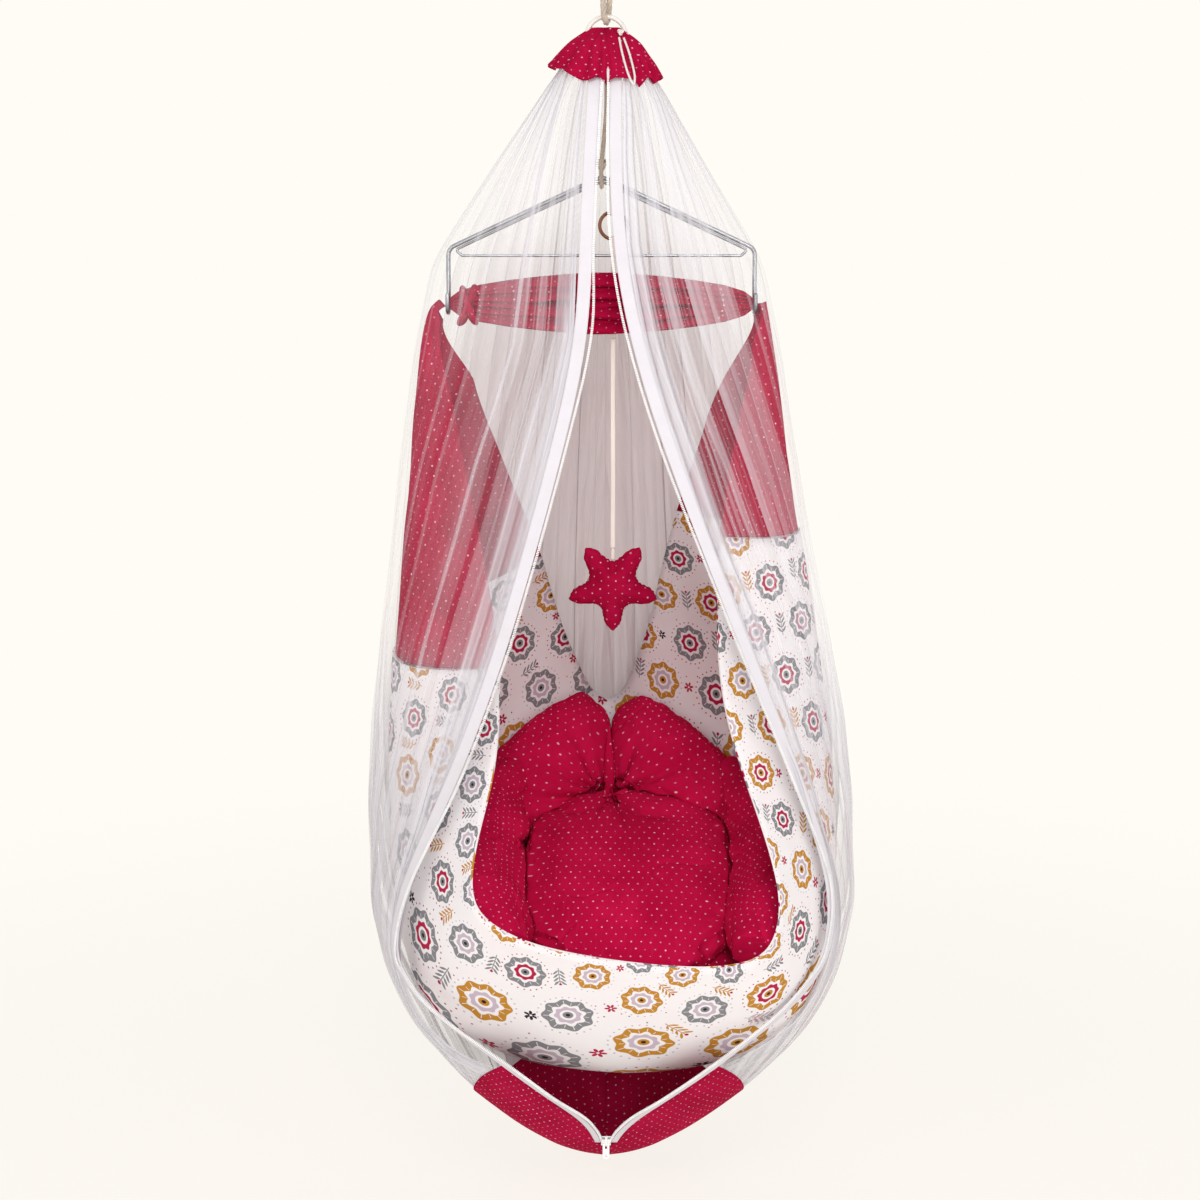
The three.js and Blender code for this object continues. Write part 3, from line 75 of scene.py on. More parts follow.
# The drawstring's route in millimetres, from its knot over the collar and back, as the CAD cord has it
DRAWSTRING_ROUTE = [
    (16.2, -25.8, -152.5),
    (20.3, -46.1, -174.4),
    (27.5, -63.8, -199.9),
    (33.9, -68.4, -212.1),
    (35.3, -59.1, -200.1),
    (29.5, -40.9, -174.8),
    (22.2, -23.0, -152.8),
]
ROPE_STRANDS = 3
ROPE_LAY = 26 * MM
STRAND_SHARE = 0.27
STRAND_SIDES = 10
CURVE_STEPS = 24
UPPER_ROPE_POINTS = 260
LOWER_ROPE_POINTS = 420
LOWER_TAIL_POINTS = 60
DRAWSTRING_POINTS = 130
LOWER_KNOT_RADIUS = 8.5 * MM
LOWER_TAIL = 46 * MM
KNOT_POINTS = 120
DRAWSTRING_KNOT_CORD = 1.25 * MM
HOOK_ROD = 3 * MM
RING_ROD = 3.2 * MM
BOW_ROD = 3 * MM
BRACE_ROD = 2 * MM
TOY_RING_ROD = 2.5 * MM
GAP = 0.3 * MM
CLOTH_GAP = 0.5 * MM

# Ribbon
RIBBON_WIDTH = 6 * MM
RIBBON_THICKNESS = 0.7 * MM
RIBBON_STEPS = 120
RIBBON_COLUMNS = 5
RIBBON_TWIST = 0.35
RIBBON_SWAY = 0.4 * MM
RIBBON_BEND = 5 * MM

# Dots and print
DOT_PITCH = 13 * MM
DOT_RISE_SHARE = 0.87
DOT_RADIUS = 1.05 * MM
DOT_SHIFT = 1.6 * MM
DOT_EDGE = 0.35 * MM
YARN = 0.8 * MM
PATTERN_SEEDS = {"dots": 3.0, "specks": 11.0, "sprigs": 7.0, "rosettes": 2.0}
PRINT_PITCH = 104 * MM
PRINT_RISE_SHARE = 0.8
PRINT_EDGE = 0.3 * MM
ROSETTE_SHIFT = 10 * MM
ROSETTE_PETALS = 8
ROSETTE_CLEAR = 40 * MM
ROSETTE_CLEAR_EDGE = 0.2 * MM
ROSETTE_BEADS = 26
ROSETTE_BEAD_RING = 38 * MM
ROSETTE_BEAD_RADIUS = 1.3 * MM
ROSETTE_SCALLOP = 2.2 * MM
ROSETTE_INNER_SCALLOP = 1.2 * MM
# Where each of the medallion's rings ends, from its rim inwards, and how soft its edge is
ROSETTE_RINGS = {
    "rim": (31 * MM, 1 * MM),
    "veins": (28 * MM, 1 * MM),
    "field": (21 * MM, 1 * MM),
    "vein_foot": (20 * MM, 1 * MM),
    "scalloped_ring": (16 * MM, 1 * MM),
    "pale_ring": (10 * MM, 0.7 * MM),
    "middle": (6.4 * MM, 0.6 * MM),
    "eye": (2.6 * MM, 0.5 * MM),
}
SPRIG_SHIFT = 12 * MM
SPRIG_CHANCE = (0.45, 0.46)
SPRIG_SLANT = 0.9
SPRIG_STEM = (0.5 * MM, 0.9 * MM)
SPRIG_HALF_LENGTH = (17 * MM, 18 * MM)
SPRIG_LEAF_PITCH = 8 * MM
SPRIG_LEAF_MIDDLE = 5.4 * MM
SPRIG_LEAF_HALF_LENGTH = 5 * MM
SPRIG_LEAF_THICKNESS = 2.4 * MM
SPRIG_LEAF_EDGES = (0.2 * MM, 0.4 * MM)
SPRIG_LEAF_END = (9.8 * MM, 10.4 * MM)
SPRIG_LEAVES_REACH = (15 * MM, 16 * MM)
SPRIG_BUD_HEIGHT = 19.5 * MM
SPRIG_BUD_RADIUS = 2.4 * MM
BLOSSOM_RADIUS = 9 * MM
BLOSSOM_EYE = (1.4 * MM, 1.9 * MM)
SPECK_PITCH = 23 * MM
SPECK_RISE = 21 * MM
SPECK_SHIFT = 14 * MM
SPECK_RADIUS = 1.2 * MM

# How deep a material's relief is
CRIMSON_RELIEF = 2.4 * MM
PRINT_RELIEF = 2.6 * MM
THREAD_RELIEF = 0.3 * MM
RIBBON_RELIEF = 0.2 * MM
FIBRE_RELIEF = 0.4 * MM
GRAIN_RELIEF = 0.05 * MM

# Cloth
# Two copies of the crimson: a darker one as painted shade on the outer cloth, which the lamps light
# fully, and a lighter one as painted light on the cushions, in the shade inside the nest
CLOTH_PAINTED_SHADE = 0.93
CUSHION_PAINTED_LIGHT = 1.22
CLOTH_LEVELS = 3
MOST_STRETCH = 8
RIM_ANGLE = 40
SHARP_ANGLE = 50
QUAD_FACE_ANGLE = 0.7
QUAD_SHAPE_ANGLE = 1.2
TAPE_RIB = 2.2 * MM
TAPE_RIPPLE = 1.2 * MM
SEAM_FIXED = 4 * MM
SEAM_LOOSE = 45 * MM
SEAM_REACH = 60 * MM
PANEL_FAN_ABOVE = 120 * MM
PANEL_FAN_FOLDS = 17
PANEL_FOLD = 4.2 * MM
PANEL_RUMPLE = 4.5 * MM
SLING_RUMPLE = 4 * MM
BASE_MIDDLE_RISE = 350 * MM
BASE_RUMPLE = 3 * MM
BASE_SEAM_REACH = 3 * MM
BASE_SEAM_ROOM = 0.9 * MM

# Swag
SWAG_FOLDS = 7
SWAG_STEPS = 150
SWAG_AROUND = 26
SWAG_END = 2 * MM
SWAG_LINING_BACK = 7 * MM
SWAG_LINING_THICKNESS = 5 * MM
SWAG_LEAST_FOLD = 2.6 * MM
SWAG_RIPPLE = 2.2 * MM
SWAG_THICKNESS = 5 * MM
SWAG_SWELL = 8 * MM
SWAG_DRIFT = 8 * MM
SWAG_STAGGER = 5 * MM
SWAG_AHEAD = 1 * MM
SWAG_LEAN = -0.45
SWAG_KNOT_FROM_END = 26 * MM
SWAG_KNOT_AHEAD = 3 * MM
SWAG_KNOT_STEP = 12
SWAG_KNOT_POINTS = 61
SWAG_KNOT_AROUND = 16
SWAG_KNOT_LEANS = (-0.55, 0.6)
SWAG_KNOT_HALF_SIZES = (14 * MM, 10.5 * MM, 20 * MM)
SWAG_WRAP = 7 * MM
SWAG_WRAP_CHANGE = 1.4 * MM
PROBE_ROOM = 50 * MM

# Collar
COLLAR_GATHERS = 10
COLLAR_FINE_GATHERS = 47
COLLAR_HEM_WAVES = 5
COLLAR_HEM = 11 * MM
COLLAR_NECK_SHARE = 0.28
COLLAR_NECK = 11 * MM
COLLAR_GATHER = 1.8 * MM
COLLAR_GATHER_GROWTH = 2.8 * MM
COLLAR_FINE_GATHER = 0.8 * MM
COLLAR_DOME = 3.5 * MM
COLLAR_TUCK = 4 * MM

# Cushions
VOXEL = 5 * MM
STAR_VOXEL = 2.6 * MM
PUFF_FRAMES = 18
PUFF_CAP = 7 * MM
CUSHION_PRESSURE = 3.5
CUSHION_SLACK = 5 * MM
CUSHION_GROWTH = 1.5 * MM
BASE_CUSHION_INSET = 4 * MM
BASE_CUSHION_SLACK = -2 * MM
BASE_CUSHION_ROOM = 3 * MM
SLING_ROOM = 1.5 * MM
SEAM_GROOVE_WIDTH = 3 * MM
SEAM_GROOVE_DEPTH = 1.8 * MM
RUMPLE_BROAD = 3.4 * MM
RUMPLE_FINE = 2 * MM
RUMPLE_CREASE = 4.4 * MM
BASE_CUSHION_RUMPLE = 2 * MM
SKIN = {
    "quality": 4,
    "mass": 0.15,
    "tension_stiffness": 12,
    "compression_stiffness": 6,
    "shear_stiffness": 5,
    "bending_stiffness": 0.05,
    "use_pressure": True,
    "shrink_min": -0.05,
}
TUFT_REACH = 105 * MM
TUFT_X = 5 * MM
TUFT_Y = 116 * MM
TUFT_DROP = 4 * MM
MEETING_REACH = 38 * MM
MEETING_GAP = 0.1 * MM
SLIT_LOW = -1095 * MM
SLIT_HIGH = -1065 * MM
CREASE_DEPTH = 15 * MM
CREASE_WIDTH = 4 * MM
CREASE_WANDER = 40 * MM
GUSSET_STEPS = 25
GUSSET_AROUND = 20
GUSSET_INSET = 7 * MM
GUSSET_SPARE = 8 * MM
GUSSET_HALF_WIDTH = 11 * MM
CUSHION_FILL_SHARES = {
    "mattress_pad": 0.6,
    "left_back_pillow": 0.8,
    "right_back_pillow": 0.8,
    "left_bolster": 0.7,
    "right_bolster": 0.7,
}
# Creases that run out of the tuft: each one's angle from the right, seen from the front, and its reach
TUFT_CREASES = {
    "mattress_pad": (
        (-168, 90 * MM),
        (-146, 60 * MM),
        (-118, 36 * MM),
        (-92, 30 * MM),
        (-60, 40 * MM),
        (-36, 60 * MM),
        (-14, 110 * MM),
    ),
    "left_back_pillow": (
        (100, 40 * MM),
        (128, 60 * MM),
        (152, 70 * MM),
        (176, 120 * MM),
        (204, 120 * MM),
    ),
    "right_back_pillow": (
        (80, 40 * MM),
        (56, 60 * MM),
        (18, 110 * MM),
        (-5, 120 * MM),
        (-26, 130 * MM),
    ),
    "left_bolster": ((176, 150 * MM), (200, 170 * MM)),
    "right_bolster": ((-8, 170 * MM), (-24, 190 * MM)),
}

# Star
STAR_MIDDLE_DROP = 4 * MM
STAR_NOTCH = 34 * MM
STAR_NOTCH_REACH = 9 * MM
STAR_RIM_REACH = 7 * MM
STAR_PUCKERS = 60
STAR_PUCKER = 0.8 * MM
STAR_CREASE = 2 * MM
STAR_RUMPLE = 0.9 * MM
STAR_SLACK = 4 * MM
STAR_INSET = 0.5 * MM
STAR_PRESSURE = 5

# Net
NET_SEEDS = {"left": 5, "right": 8}
NET_PLEATS = 24
NET_FOLD_DEPTH = 9 * MM
NET_ROWS = 90
NET_TURNS = 97
NET_COLUMNS_PER_PLEAT = 18
NET_MESH = 1.7 * MM
NET_BANDS_REACH = {"left": 100 * MM, "right": 170 * MM}
NET_SEAM_RISE = 125 * MM
NET_SHARED_FROM = 160
NET_LAP = 8 * MM
NET_ASIDE = 2 * MM
NET_ASIDE_REAR = 0.8 * MM
NET_PROBE_ASIDE = 2 * MM
DOOR_BAND = 9 * MM
# Heights and depths between which the net's look changes, from the first to the second
NET_LOW_DOWN = (860 * MM, 1150 * MM)
# Below the swag and at the rear, the net gets painted shade and more cover
NET_BELOW_SWAG = (320 * MM, 540 * MM)
NET_REAR = (40 * MM, 160 * MM)
# What each feature adds to the share that the net covers
NET_COVER_SHARES = {
    "single": 0.035,
    "broad_bands": 0.32,
    "narrow_bands": 0.26,
    "threads": 0.14,
    "broad_lines": 0.28,
    "narrow_lines": 0.16,
    "folds": 0.03,
    "door": 0.45,
    "beside_door": 0.04,
    "neck": 0.1,
    "foot": 0.2,
    "low_down": 0.18,
    # The rear's cover, greater below the swag, makes the dense sheet that carries the painted shade
    "rear": 0.3,
    "rear_below": 0.42,
    "most": 0.93,
}

# Zip
CLUSTER_GAP = 3.2 * MM
TOOTH_PITCH = 2.2 * MM
TOOTH_LENGTH = 1.5 * MM
TOOTH_HALF_WIDTH = 1.5 * MM
TOOTH_HALF_HEIGHT = 1.0 * MM
TOOTH_TAPER = 0.8
TOOTH_FACES = ((0, 1, 3, 2), (4, 6, 7, 5), (0, 4, 5, 1), (2, 3, 7, 6), (0, 2, 6, 4), (1, 5, 7, 3))

# Metal and plastic
EDGE_BEVEL = 0.35 * MM
EDGE_ANGLE = 35
ROUND_NODES = ("ceiling_hook", "hanger_bow", "hanger_brace", "toy_ring", "suspension_ring")


def srgb(red, green, blue):
    """A colour as written for a screen, turned into the renderer's linear numbers."""
    linear = []
    for value in (red, green, blue):
        part = value / 255
        linear.append(part / 12.92 if part <= 0.04045 else ((part + 0.055) / 1.055) ** 2.4)
    return (*linear, 1)


CRIMSON = srgb(186, 17, 66)
CRIMSON_DEEP = srgb(166, 9, 54)
CRIMSON_LIGHT = srgb(200, 34, 86)
DOT_COLOUR = srgb(246, 206, 218)
PRINT_GROUND = srgb(239, 234, 235)
MUSTARD = srgb(190, 132, 44)
PRINT_CRIMSON = srgb(176, 30, 70)
PRINT_GREY = srgb(132, 130, 134)
PRINT_LILAC = srgb(196, 178, 192)
PRINT_DARK = srgb(46, 34, 38)
NET_WHITE = srgb(219, 216, 221)
NET_THIN = srgb(238, 234, 239)
# Painted shade: the grey of the net's rear, inside the nest
NET_PAINTED_SHADE = srgb(210, 193, 196)
TAPE_WHITE = srgb(221, 217, 222)
ROPE_COLOUR = srgb(206, 192, 176)
ROPE_DARK = srgb(160, 142, 124)
CREAM = srgb(246, 236, 226)
STEEL = srgb(158, 160, 165)
BRONZE = srgb(128, 88, 68)
RESIN = srgb(224, 220, 214)
PRINT_GROUND_WORN = srgb(240, 230, 231)
TAPE_SHADED = srgb(212, 206, 211)
RIBBON_SHADED = srgb(226, 210, 202)
CORD_WHITE = srgb(238, 234, 230)
CORD_SHADED = srgb(208, 200, 194)
STEEL_WORN = srgb(122, 124, 129)
BRONZE_WORN = srgb(96, 62, 46)
RESIN_SHADED = srgb(190, 184, 178)
PLASTIC_SHADED = srgb(226, 226, 228)
TEETH_SHADED = srgb(220, 220, 224)
PLASTIC_WHITE = srgb(247, 247, 246)
BACKGROUND = srgb(255, 252, 245)
FLOOR_COLOUR = srgb(250, 240, 236)


# Shader numbers


class Number:
    """A value carried by a node's socket, so that a pattern is written as a formula."""

    def __init__(self, tree, socket):
        self.tree = tree
        self.socket = socket

    def do(self, operation, *others):
        """The result of one operation on this number and the others."""
        node = self.tree.nodes.new("ShaderNodeMath")
        node.operation = operation
        for place, value in enumerate((self, *others)):
            join(self.tree, value, node.inputs[place])
        return Number(self.tree, node.outputs[0])

    __add__ = partialmethod(do, "ADD")
    __sub__ = partialmethod(do, "SUBTRACT")
    __mul__ = partialmethod(do, "MULTIPLY")
    __truediv__ = partialmethod(do, "DIVIDE")
    floor = partialmethod(do, "FLOOR")
    fract = partialmethod(do, "FRACT")
    size = partialmethod(do, "ABSOLUTE")
    sin = partialmethod(do, "SINE")
    cos = partialmethod(do, "COSINE")
    least = partialmethod(do, "MINIMUM")
    most = partialmethod(do, "MAXIMUM")

    def flipped(self):
        """1 for 0 and 0 for 1."""
        return (self * -1) + 1

    def step(self, low, high):
        """0 under low and 1 over high, with a smooth step between them."""
        node = self.tree.nodes.new("ShaderNodeMapRange")
        node.interpolation_type = "SMOOTHSTEP"
        join(self.tree, self, node.inputs["Value"])
        join(self.tree, low, node.inputs["From Min"])
        join(self.tree, high, node.inputs["From Max"])
        return Number(self.tree, node.outputs["Result"])


def join(tree, value, socket):
    """Links a number, a socket or a plain value to an input."""
    if isinstance(value, Number):
        tree.links.new(value.socket, socket)
    elif isinstance(value, bpy.types.NodeSocket):
        tree.links.new(value, socket)
    else:
        socket.default_value = value


def reach(x, y):
    """The distance of a place from the origin."""
    return (x * x + y * y).do("SQRT")


def bearing(x, y):
    """The angle of a place about the origin."""
    return y.do("ARCTAN2", x)


class Finish:
    """One material: a principled shader and short calls for the nodes that feed it."""

    def __init__(self, name, roughness, **plain):
        self.material = bpy.data.materials.new(name)
        self.material.use_nodes = True
        self.tree = self.material.node_tree
        self.shader = self.tree.nodes["Principled BSDF"]
        self.set("Roughness", roughness)
        for socket, value in plain.items():
            self.set(socket.replace("_", " ").title().replace("Ior", "IOR"), value)

    def set(self, socket, value):
        join(self.tree, value, self.shader.inputs[socket])

    def node(self, kind, **inputs):
        made = self.tree.nodes.new("ShaderNode" + kind)
        for socket, value in inputs.items():
            join(self.tree, value, made.inputs[socket])
        return made

    def cloth_place(self):
        """The place on the cloth, in metres along and across it."""
        return self.axes(self.tree.nodes.new("ShaderNodeUVMap").outputs[0], 2)

    def axes(self, place, count=3):
        """The first numbers of a place, one for each axis."""
        parts = self.node("SeparateXYZ", Vector=place)
        return [Number(self.tree, parts.outputs[k]) for k in range(count)]

    def object_place(self):
        """The place in the object's own metres."""
        return self.tree.nodes.new("ShaderNodeTexCoord").outputs["Object"]

    def attribute(self, name):
        node = self.tree.nodes.new("ShaderNodeAttribute")
        node.attribute_name = name
        return Number(self.tree, node.outputs["Fac"])

    def vector(self, x, y, z=0):
        return self.node("CombineXYZ", X=x, Y=y, Z=z).outputs[0]

    def cloud(self, place, per_metre, detail=3):
        """Soft noise from 0 to 1 at a place."""
        made = self.node("TexNoise", Vector=place, Scale=per_metre, Detail=detail)
        return Number(self.tree, made.outputs["Fac"])

    def chances(self, x, y, seed):
        """Three random numbers for a cell."""
        made = self.node("TexWhiteNoise", Vector=self.vector(x, y, seed))
        parts = self.node("SeparateColor", Color=made.outputs["Color"])
        return [Number(self.tree, parts.outputs[k]) for k in range(3)]

    def mix(self, share, first, second):
        """A colour between two, at a share."""
        made = self.tree.nodes.new("ShaderNodeMix")
        made.data_type = "RGBA"
        join(self.tree, share, made.inputs[0])
        join(self.tree, first, made.inputs[6])
        join(self.tree, second, made.inputs[7])
        return made.outputs[2]

    def relief(self, height, depth, strength=1.0):
        """Bump from a height between 0 and 1 that stands for a depth in metres."""
        made = self.node("Bump", Height=height, Distance=depth, Strength=strength)
        self.set("Normal", made.outputs[0])


def yarns(u, v, pitch):
    """Height of a plain weave of yarns, over and under by turns."""
    across = (u * (math.pi / pitch)).sin().size()
    along = (v * (math.pi / pitch)).sin().size()
    turn = ((u / pitch).floor() + (v / pitch).floor()) * 0.5
    over = turn.fract() * 2
    return across * over + along * over.flipped()


def cells(finish, u, v, pitch, rise, jitter, seed):
    """A staggered lattice: the place in a cell, about its shifted middle, and the cell's chances."""
    row = (v / rise).floor()
    shifted = u / pitch + (row * 0.5).fract()
    column = shifted.floor()
    chances = finish.chances(column, row, seed)
    x = (shifted - column - 0.5) * pitch - (chances[0] - 0.5) * jitter
    y = (v / rise - row - 0.5) * rise - (chances[1] - 0.5) * jitter
    return x, y, chances


def spot(x, y, radius, edge):
    """1 inside a round spot and 0 outside, with a soft edge."""
    return reach(x, y).step(radius - edge, radius + edge).flipped()


def within(far, radius, end):
    """1 up to a radius and 0 from its soft edge's end."""
    return far.step(radius, end).flipped()


def inside_ring(far, ring):
    """1 inside one of the medallion's rings and 0 outside."""
    radius, edge = ROSETTE_RINGS[ring]
    return within(far, radius, radius + edge)


def picked(chance, share):
    """1 for the cells whose chance is above a share, and 0 for the others."""
    return chance.step(share, share + 0.02)


def dots(finish, u, v):
    """Small staggered dots, each a little different in size and strength."""
    rise = DOT_PITCH * DOT_RISE_SHARE
    x, y, chances = cells(finish, u, v, DOT_PITCH, rise, DOT_SHIFT, PATTERN_SEEDS["dots"])
    radius = (chances[2] * 0.5 + 0.7) * DOT_RADIUS
    strength = chances[0] * chances[0] * 0.62 + 0.32
    return spot(x, y, radius, DOT_EDGE) * strength


def lighter(colour, share):
    """A colour that gives back a share of the light that it gave."""
    return (*(min(1.0, part * share) for part in colour[:3]), 1)


def crimson_cloth(name, share):
    """Dotted crimson cotton: weave, slubs, worn light streaks and small pale dots."""
    # share lightens or darkens the crimson: painted light on the cushions inside the nest, painted shade
    # on the outer cloth
    finish = Finish(name, 0.9, specular_ior_level=0.03)
    u, v = finish.cloth_place()
    flat = finish.vector(u, v)
    streaks = finish.cloud(finish.vector(u * 3, v * 0.6), 60, 4)
    tone = finish.cloud(flat, 14, 3)
    deep, plain, light = (lighter(tint, share) for tint in (CRIMSON_DEEP, CRIMSON, CRIMSON_LIGHT))
    colour = finish.mix(tone.step(0.3, 0.75), deep, plain)
    colour = finish.mix(streaks.step(0.5, 0.85) * 0.3, colour, light)
    colour = finish.mix(dots(finish, u, v), colour, DOT_COLOUR)
    finish.set("Base Color", colour)
    fine = yarns(u, v, YARN) * 0.08 + finish.cloud(flat, 220, 4) * 0.14
    rumple = finish.cloud(finish.vector(u * 1.6, v), 26, 2)
    finish.relief(fine + rumple, CRIMSON_RELIEF, 0.6)
    return finish.material


def rosette(finish, colour, x, y, chances):
    """A round flower medallion: dotted rim, scalloped ring, pale ring and a small middle."""
    far = reach(x, y)
    turn = bearing(x, y)
    scallop = (turn * ROSETTE_PETALS).cos()
    outer = far - scallop * ROSETTE_SCALLOP
    inner = far - scallop * ROSETTE_INNER_SCALLOP
    first = finish.mix(picked(chances[2], 0.42), MUSTARD, PRINT_GREY)
    second = finish.mix(picked(chances[1], 0.5), PRINT_CRIMSON, PRINT_LILAC)
    bead_turn = 2 * math.pi / ROSETTE_BEADS
    beads = ((turn * (1 / bead_turn)).fract() - 0.5) * (bead_turn * ROSETTE_BEAD_RING)
    bead = spot(beads, far - ROSETTE_BEAD_RING, ROSETTE_BEAD_RADIUS, DOT_EDGE)
    vein = within((turn * ROSETTE_PETALS).sin().size(), 0.1, 0.16)
    foot, foot_edge = ROSETTE_RINGS["vein_foot"]
    veins = vein * far.step(foot, foot + foot_edge) * inside_ring(outer, "veins")
    colour = finish.mix(bead, colour, second)
    for cover, tint in (
        (inside_ring(outer, "rim"), first),
        (veins, PRINT_GROUND),
        (inside_ring(outer, "field"), PRINT_GROUND),
        (inside_ring(inner, "scalloped_ring"), second),
        (inside_ring(far, "pale_ring"), PRINT_GROUND),
        (inside_ring(far, "middle"), first),
        (inside_ring(far, "eye"), PRINT_DARK),
    ):
        colour = finish.mix(cover, colour, tint)
    return colour


def sprig(finish, colour, x, y, chances):
    """A small upright sprig: a stem with pairs of slanting leaves and a bud on top."""
    side = x.size()
    stem = within(side, *SPRIG_STEM) * within(y.size(), *SPRIG_HALF_LENGTH)
    lift = (y - side * SPRIG_SLANT) / SPRIG_LEAF_PITCH
    rib = (lift.fract() - 0.5).size() * SPRIG_LEAF_PITCH
    bend = (side - SPRIG_LEAF_MIDDLE) / SPRIG_LEAF_HALF_LENGTH
    low, high = SPRIG_LEAF_EDGES
    leaf = rib.step(
        (bend * bend * -1 + 1) * SPRIG_LEAF_THICKNESS - low,
        (bend * bend * -1 + 1) * SPRIG_LEAF_THICKNESS + high,
    )
    leaves = leaf.flipped() * within(side, *SPRIG_LEAF_END)
    leaves = leaves * within((y - side * SPRIG_SLANT).size(), *SPRIG_LEAVES_REACH)
    tint = finish.mix(picked(chances[2], 0.5), PRINT_GREY, MUSTARD)
    colour = finish.mix(stem.most(leaves), colour, tint)
    bud = spot(x, y - SPRIG_BUD_HEIGHT, SPRIG_BUD_RADIUS, PRINT_EDGE)
    return finish.mix(bud, colour, PRINT_CRIMSON)


def blossom(finish, colour, x, y, chances):
    """A small flower of six narrow petals with a pale eye."""
    far = reach(x, y)
    petal = (bearing(x, y) * 3 + chances[0] * 6).cos().size() * 0.72 + 0.28
    edge = petal * BLOSSOM_RADIUS
    tint = finish.mix(picked(chances[1], 0.68), PRINT_CRIMSON, PRINT_DARK)
    colour = finish.mix(within(far, edge - PRINT_EDGE, edge + PRINT_EDGE), colour, tint)
    return finish.mix(within(far, *BLOSSOM_EYE), colour, PRINT_GROUND)


def printed_cloth():
    """White cotton with a generic print of flower medallions, sprigs, blossoms and specks."""
    finish = Finish("printed_cloth", 0.85, specular_ior_level=0.15)
    u, v = finish.cloth_place()
    flat = finish.vector(u, v)
    tone = finish.cloud(flat, 9, 3)
    colour = finish.mix(tone.step(0.35, 0.8), PRINT_GROUND, PRINT_GROUND_WORN)
    seed = PATTERN_SEEDS["specks"]
    x, y, chances = cells(finish, u, v, SPECK_PITCH, SPECK_RISE, SPECK_SHIFT, seed)
    speck = spot(x, y, SPECK_RADIUS, PRINT_EDGE) * picked(chances[2], 0.5)
    colour = finish.mix(speck, colour, finish.mix(picked(chances[0], 0.6), PRINT_CRIMSON, PRINT_DARK))
    rise = PRINT_PITCH * PRINT_RISE_SHARE
    seed = PATTERN_SEEDS["sprigs"]
    x, y, chances = cells(finish, u + PRINT_PITCH * 0.5, v, PRINT_PITCH, rise, SPRIG_SHIFT, seed)
    drawn = sprig(finish, colour, x, y, chances)
    colour = finish.mix(chances[0].step(*SPRIG_CHANCE), colour, drawn)
    drawn = blossom(finish, colour, x, y, chances)
    colour = finish.mix(within(chances[0], *SPRIG_CHANCE), colour, drawn)
    seed = PATTERN_SEEDS["rosettes"]
    x, y, chances = cells(finish, u, v, PRINT_PITCH, rise, ROSETTE_SHIFT, seed)
    bare = finish.mix(spot(x, y, ROSETTE_CLEAR, ROSETTE_CLEAR_EDGE), colour, PRINT_GROUND)
    finish.set("Base Color", rosette(finish, bare, x, y, chances))
    fine = yarns(u, v, YARN) * 0.06 + finish.cloud(flat, 200, 4) * 0.12
    rumple = finish.cloud(finish.vector(u * 1.4, v), 20, 2)
    finish.relief(fine + rumple, PRINT_RELIEF, 0.6)
    return finish.material


def net_cloth():
    """Fine white net: see-through, denser where the piece says so, and greyer behind with painted shade.
    """
    finish = Finish("net_cloth", 0.8, specular_ior_level=0.1)
    u, v = finish.cloth_place()
    shade = finish.attribute("net_shade")
    cover = finish.attribute("net_cover")
    colour = finish.mix(cover.step(0.15, 0.6), NET_THIN, NET_WHITE)
    # The net's rear is mixed towards painted shade by its net_shade attribute
    finish.set("Base Color", finish.mix(shade, colour, NET_PAINTED_SHADE))
    mesh = yarns(u, v, NET_MESH)
    streak = finish.cloud(finish.vector(u * 12, v * 0.25), 30, 3)
    alpha = cover * (streak * 0.5 + 0.75) + (mesh - 0.6) * 0.04
    finish.set("Alpha", alpha.least(0.97).most(0.02))
    finish.relief(mesh, THREAD_RELIEF, 0.15)
    return finish.material


def tape_cloth():
    """White woven tape with a fine rib across it."""
    finish = Finish("white_tape_cloth", 0.8, specular_ior_level=0.1)
    place = finish.object_place()
    height = finish.axes(place)[2]
    rib = (height * (2 * math.pi / TAPE_RIB)).sin() * 0.5 + 0.5
    tone = finish.cloud(place, 40, 3)
    finish.set("Base Color", finish.mix(tone, TAPE_WHITE, TAPE_SHADED))
    finish.relief(rib * 0.5 + finish.cloud(place, 400, 2), THREAD_RELIEF, 0.5)
    return finish.material


def ribbon_cloth():
    """Cream satin ribbon with long threads."""
    finish = Finish("cream_ribbon", 0.5, sheen_weight=0.3)
    x, _, z = finish.axes(finish.object_place())
    threads = finish.cloud(finish.vector(x * 8, 0, z * 0.4), 200, 3)
    finish.set("Base Color", finish.mix(threads, CREAM, RIBBON_SHADED))
    finish.relief(threads, RIBBON_RELIEF, 0.5)
    return finish.material


def rope_fibre():
    """Pale cotton rope: fine fibres along each strand and darker hollows."""
    finish = Finish("cotton_rope", 0.9, sheen_weight=0.3)
    place = finish.object_place()
    fibres = finish.cloud(place, 900, 4)
    tone = finish.cloud(place, 60, 3)
    colour = finish.mix(tone, ROPE_COLOUR, ROPE_DARK)
    finish.set("Base Color", finish.mix(fibres.step(0.5, 0.8) * 0.5, colour, CREAM))
    finish.relief(fibres, FIBRE_RELIEF, 0.8)
    return finish.material


def white_cord():
    """White braided drawstring."""
    finish = Finish("white_cord", 0.85, sheen_weight=0.2)
    place = finish.object_place()
    fibres = finish.cloud(place, 1200, 3)
    finish.set("Base Color", finish.mix(fibres, CORD_WHITE, CORD_SHADED))
    finish.relief(fibres, THREAD_RELIEF, 0.7)
    return finish.material


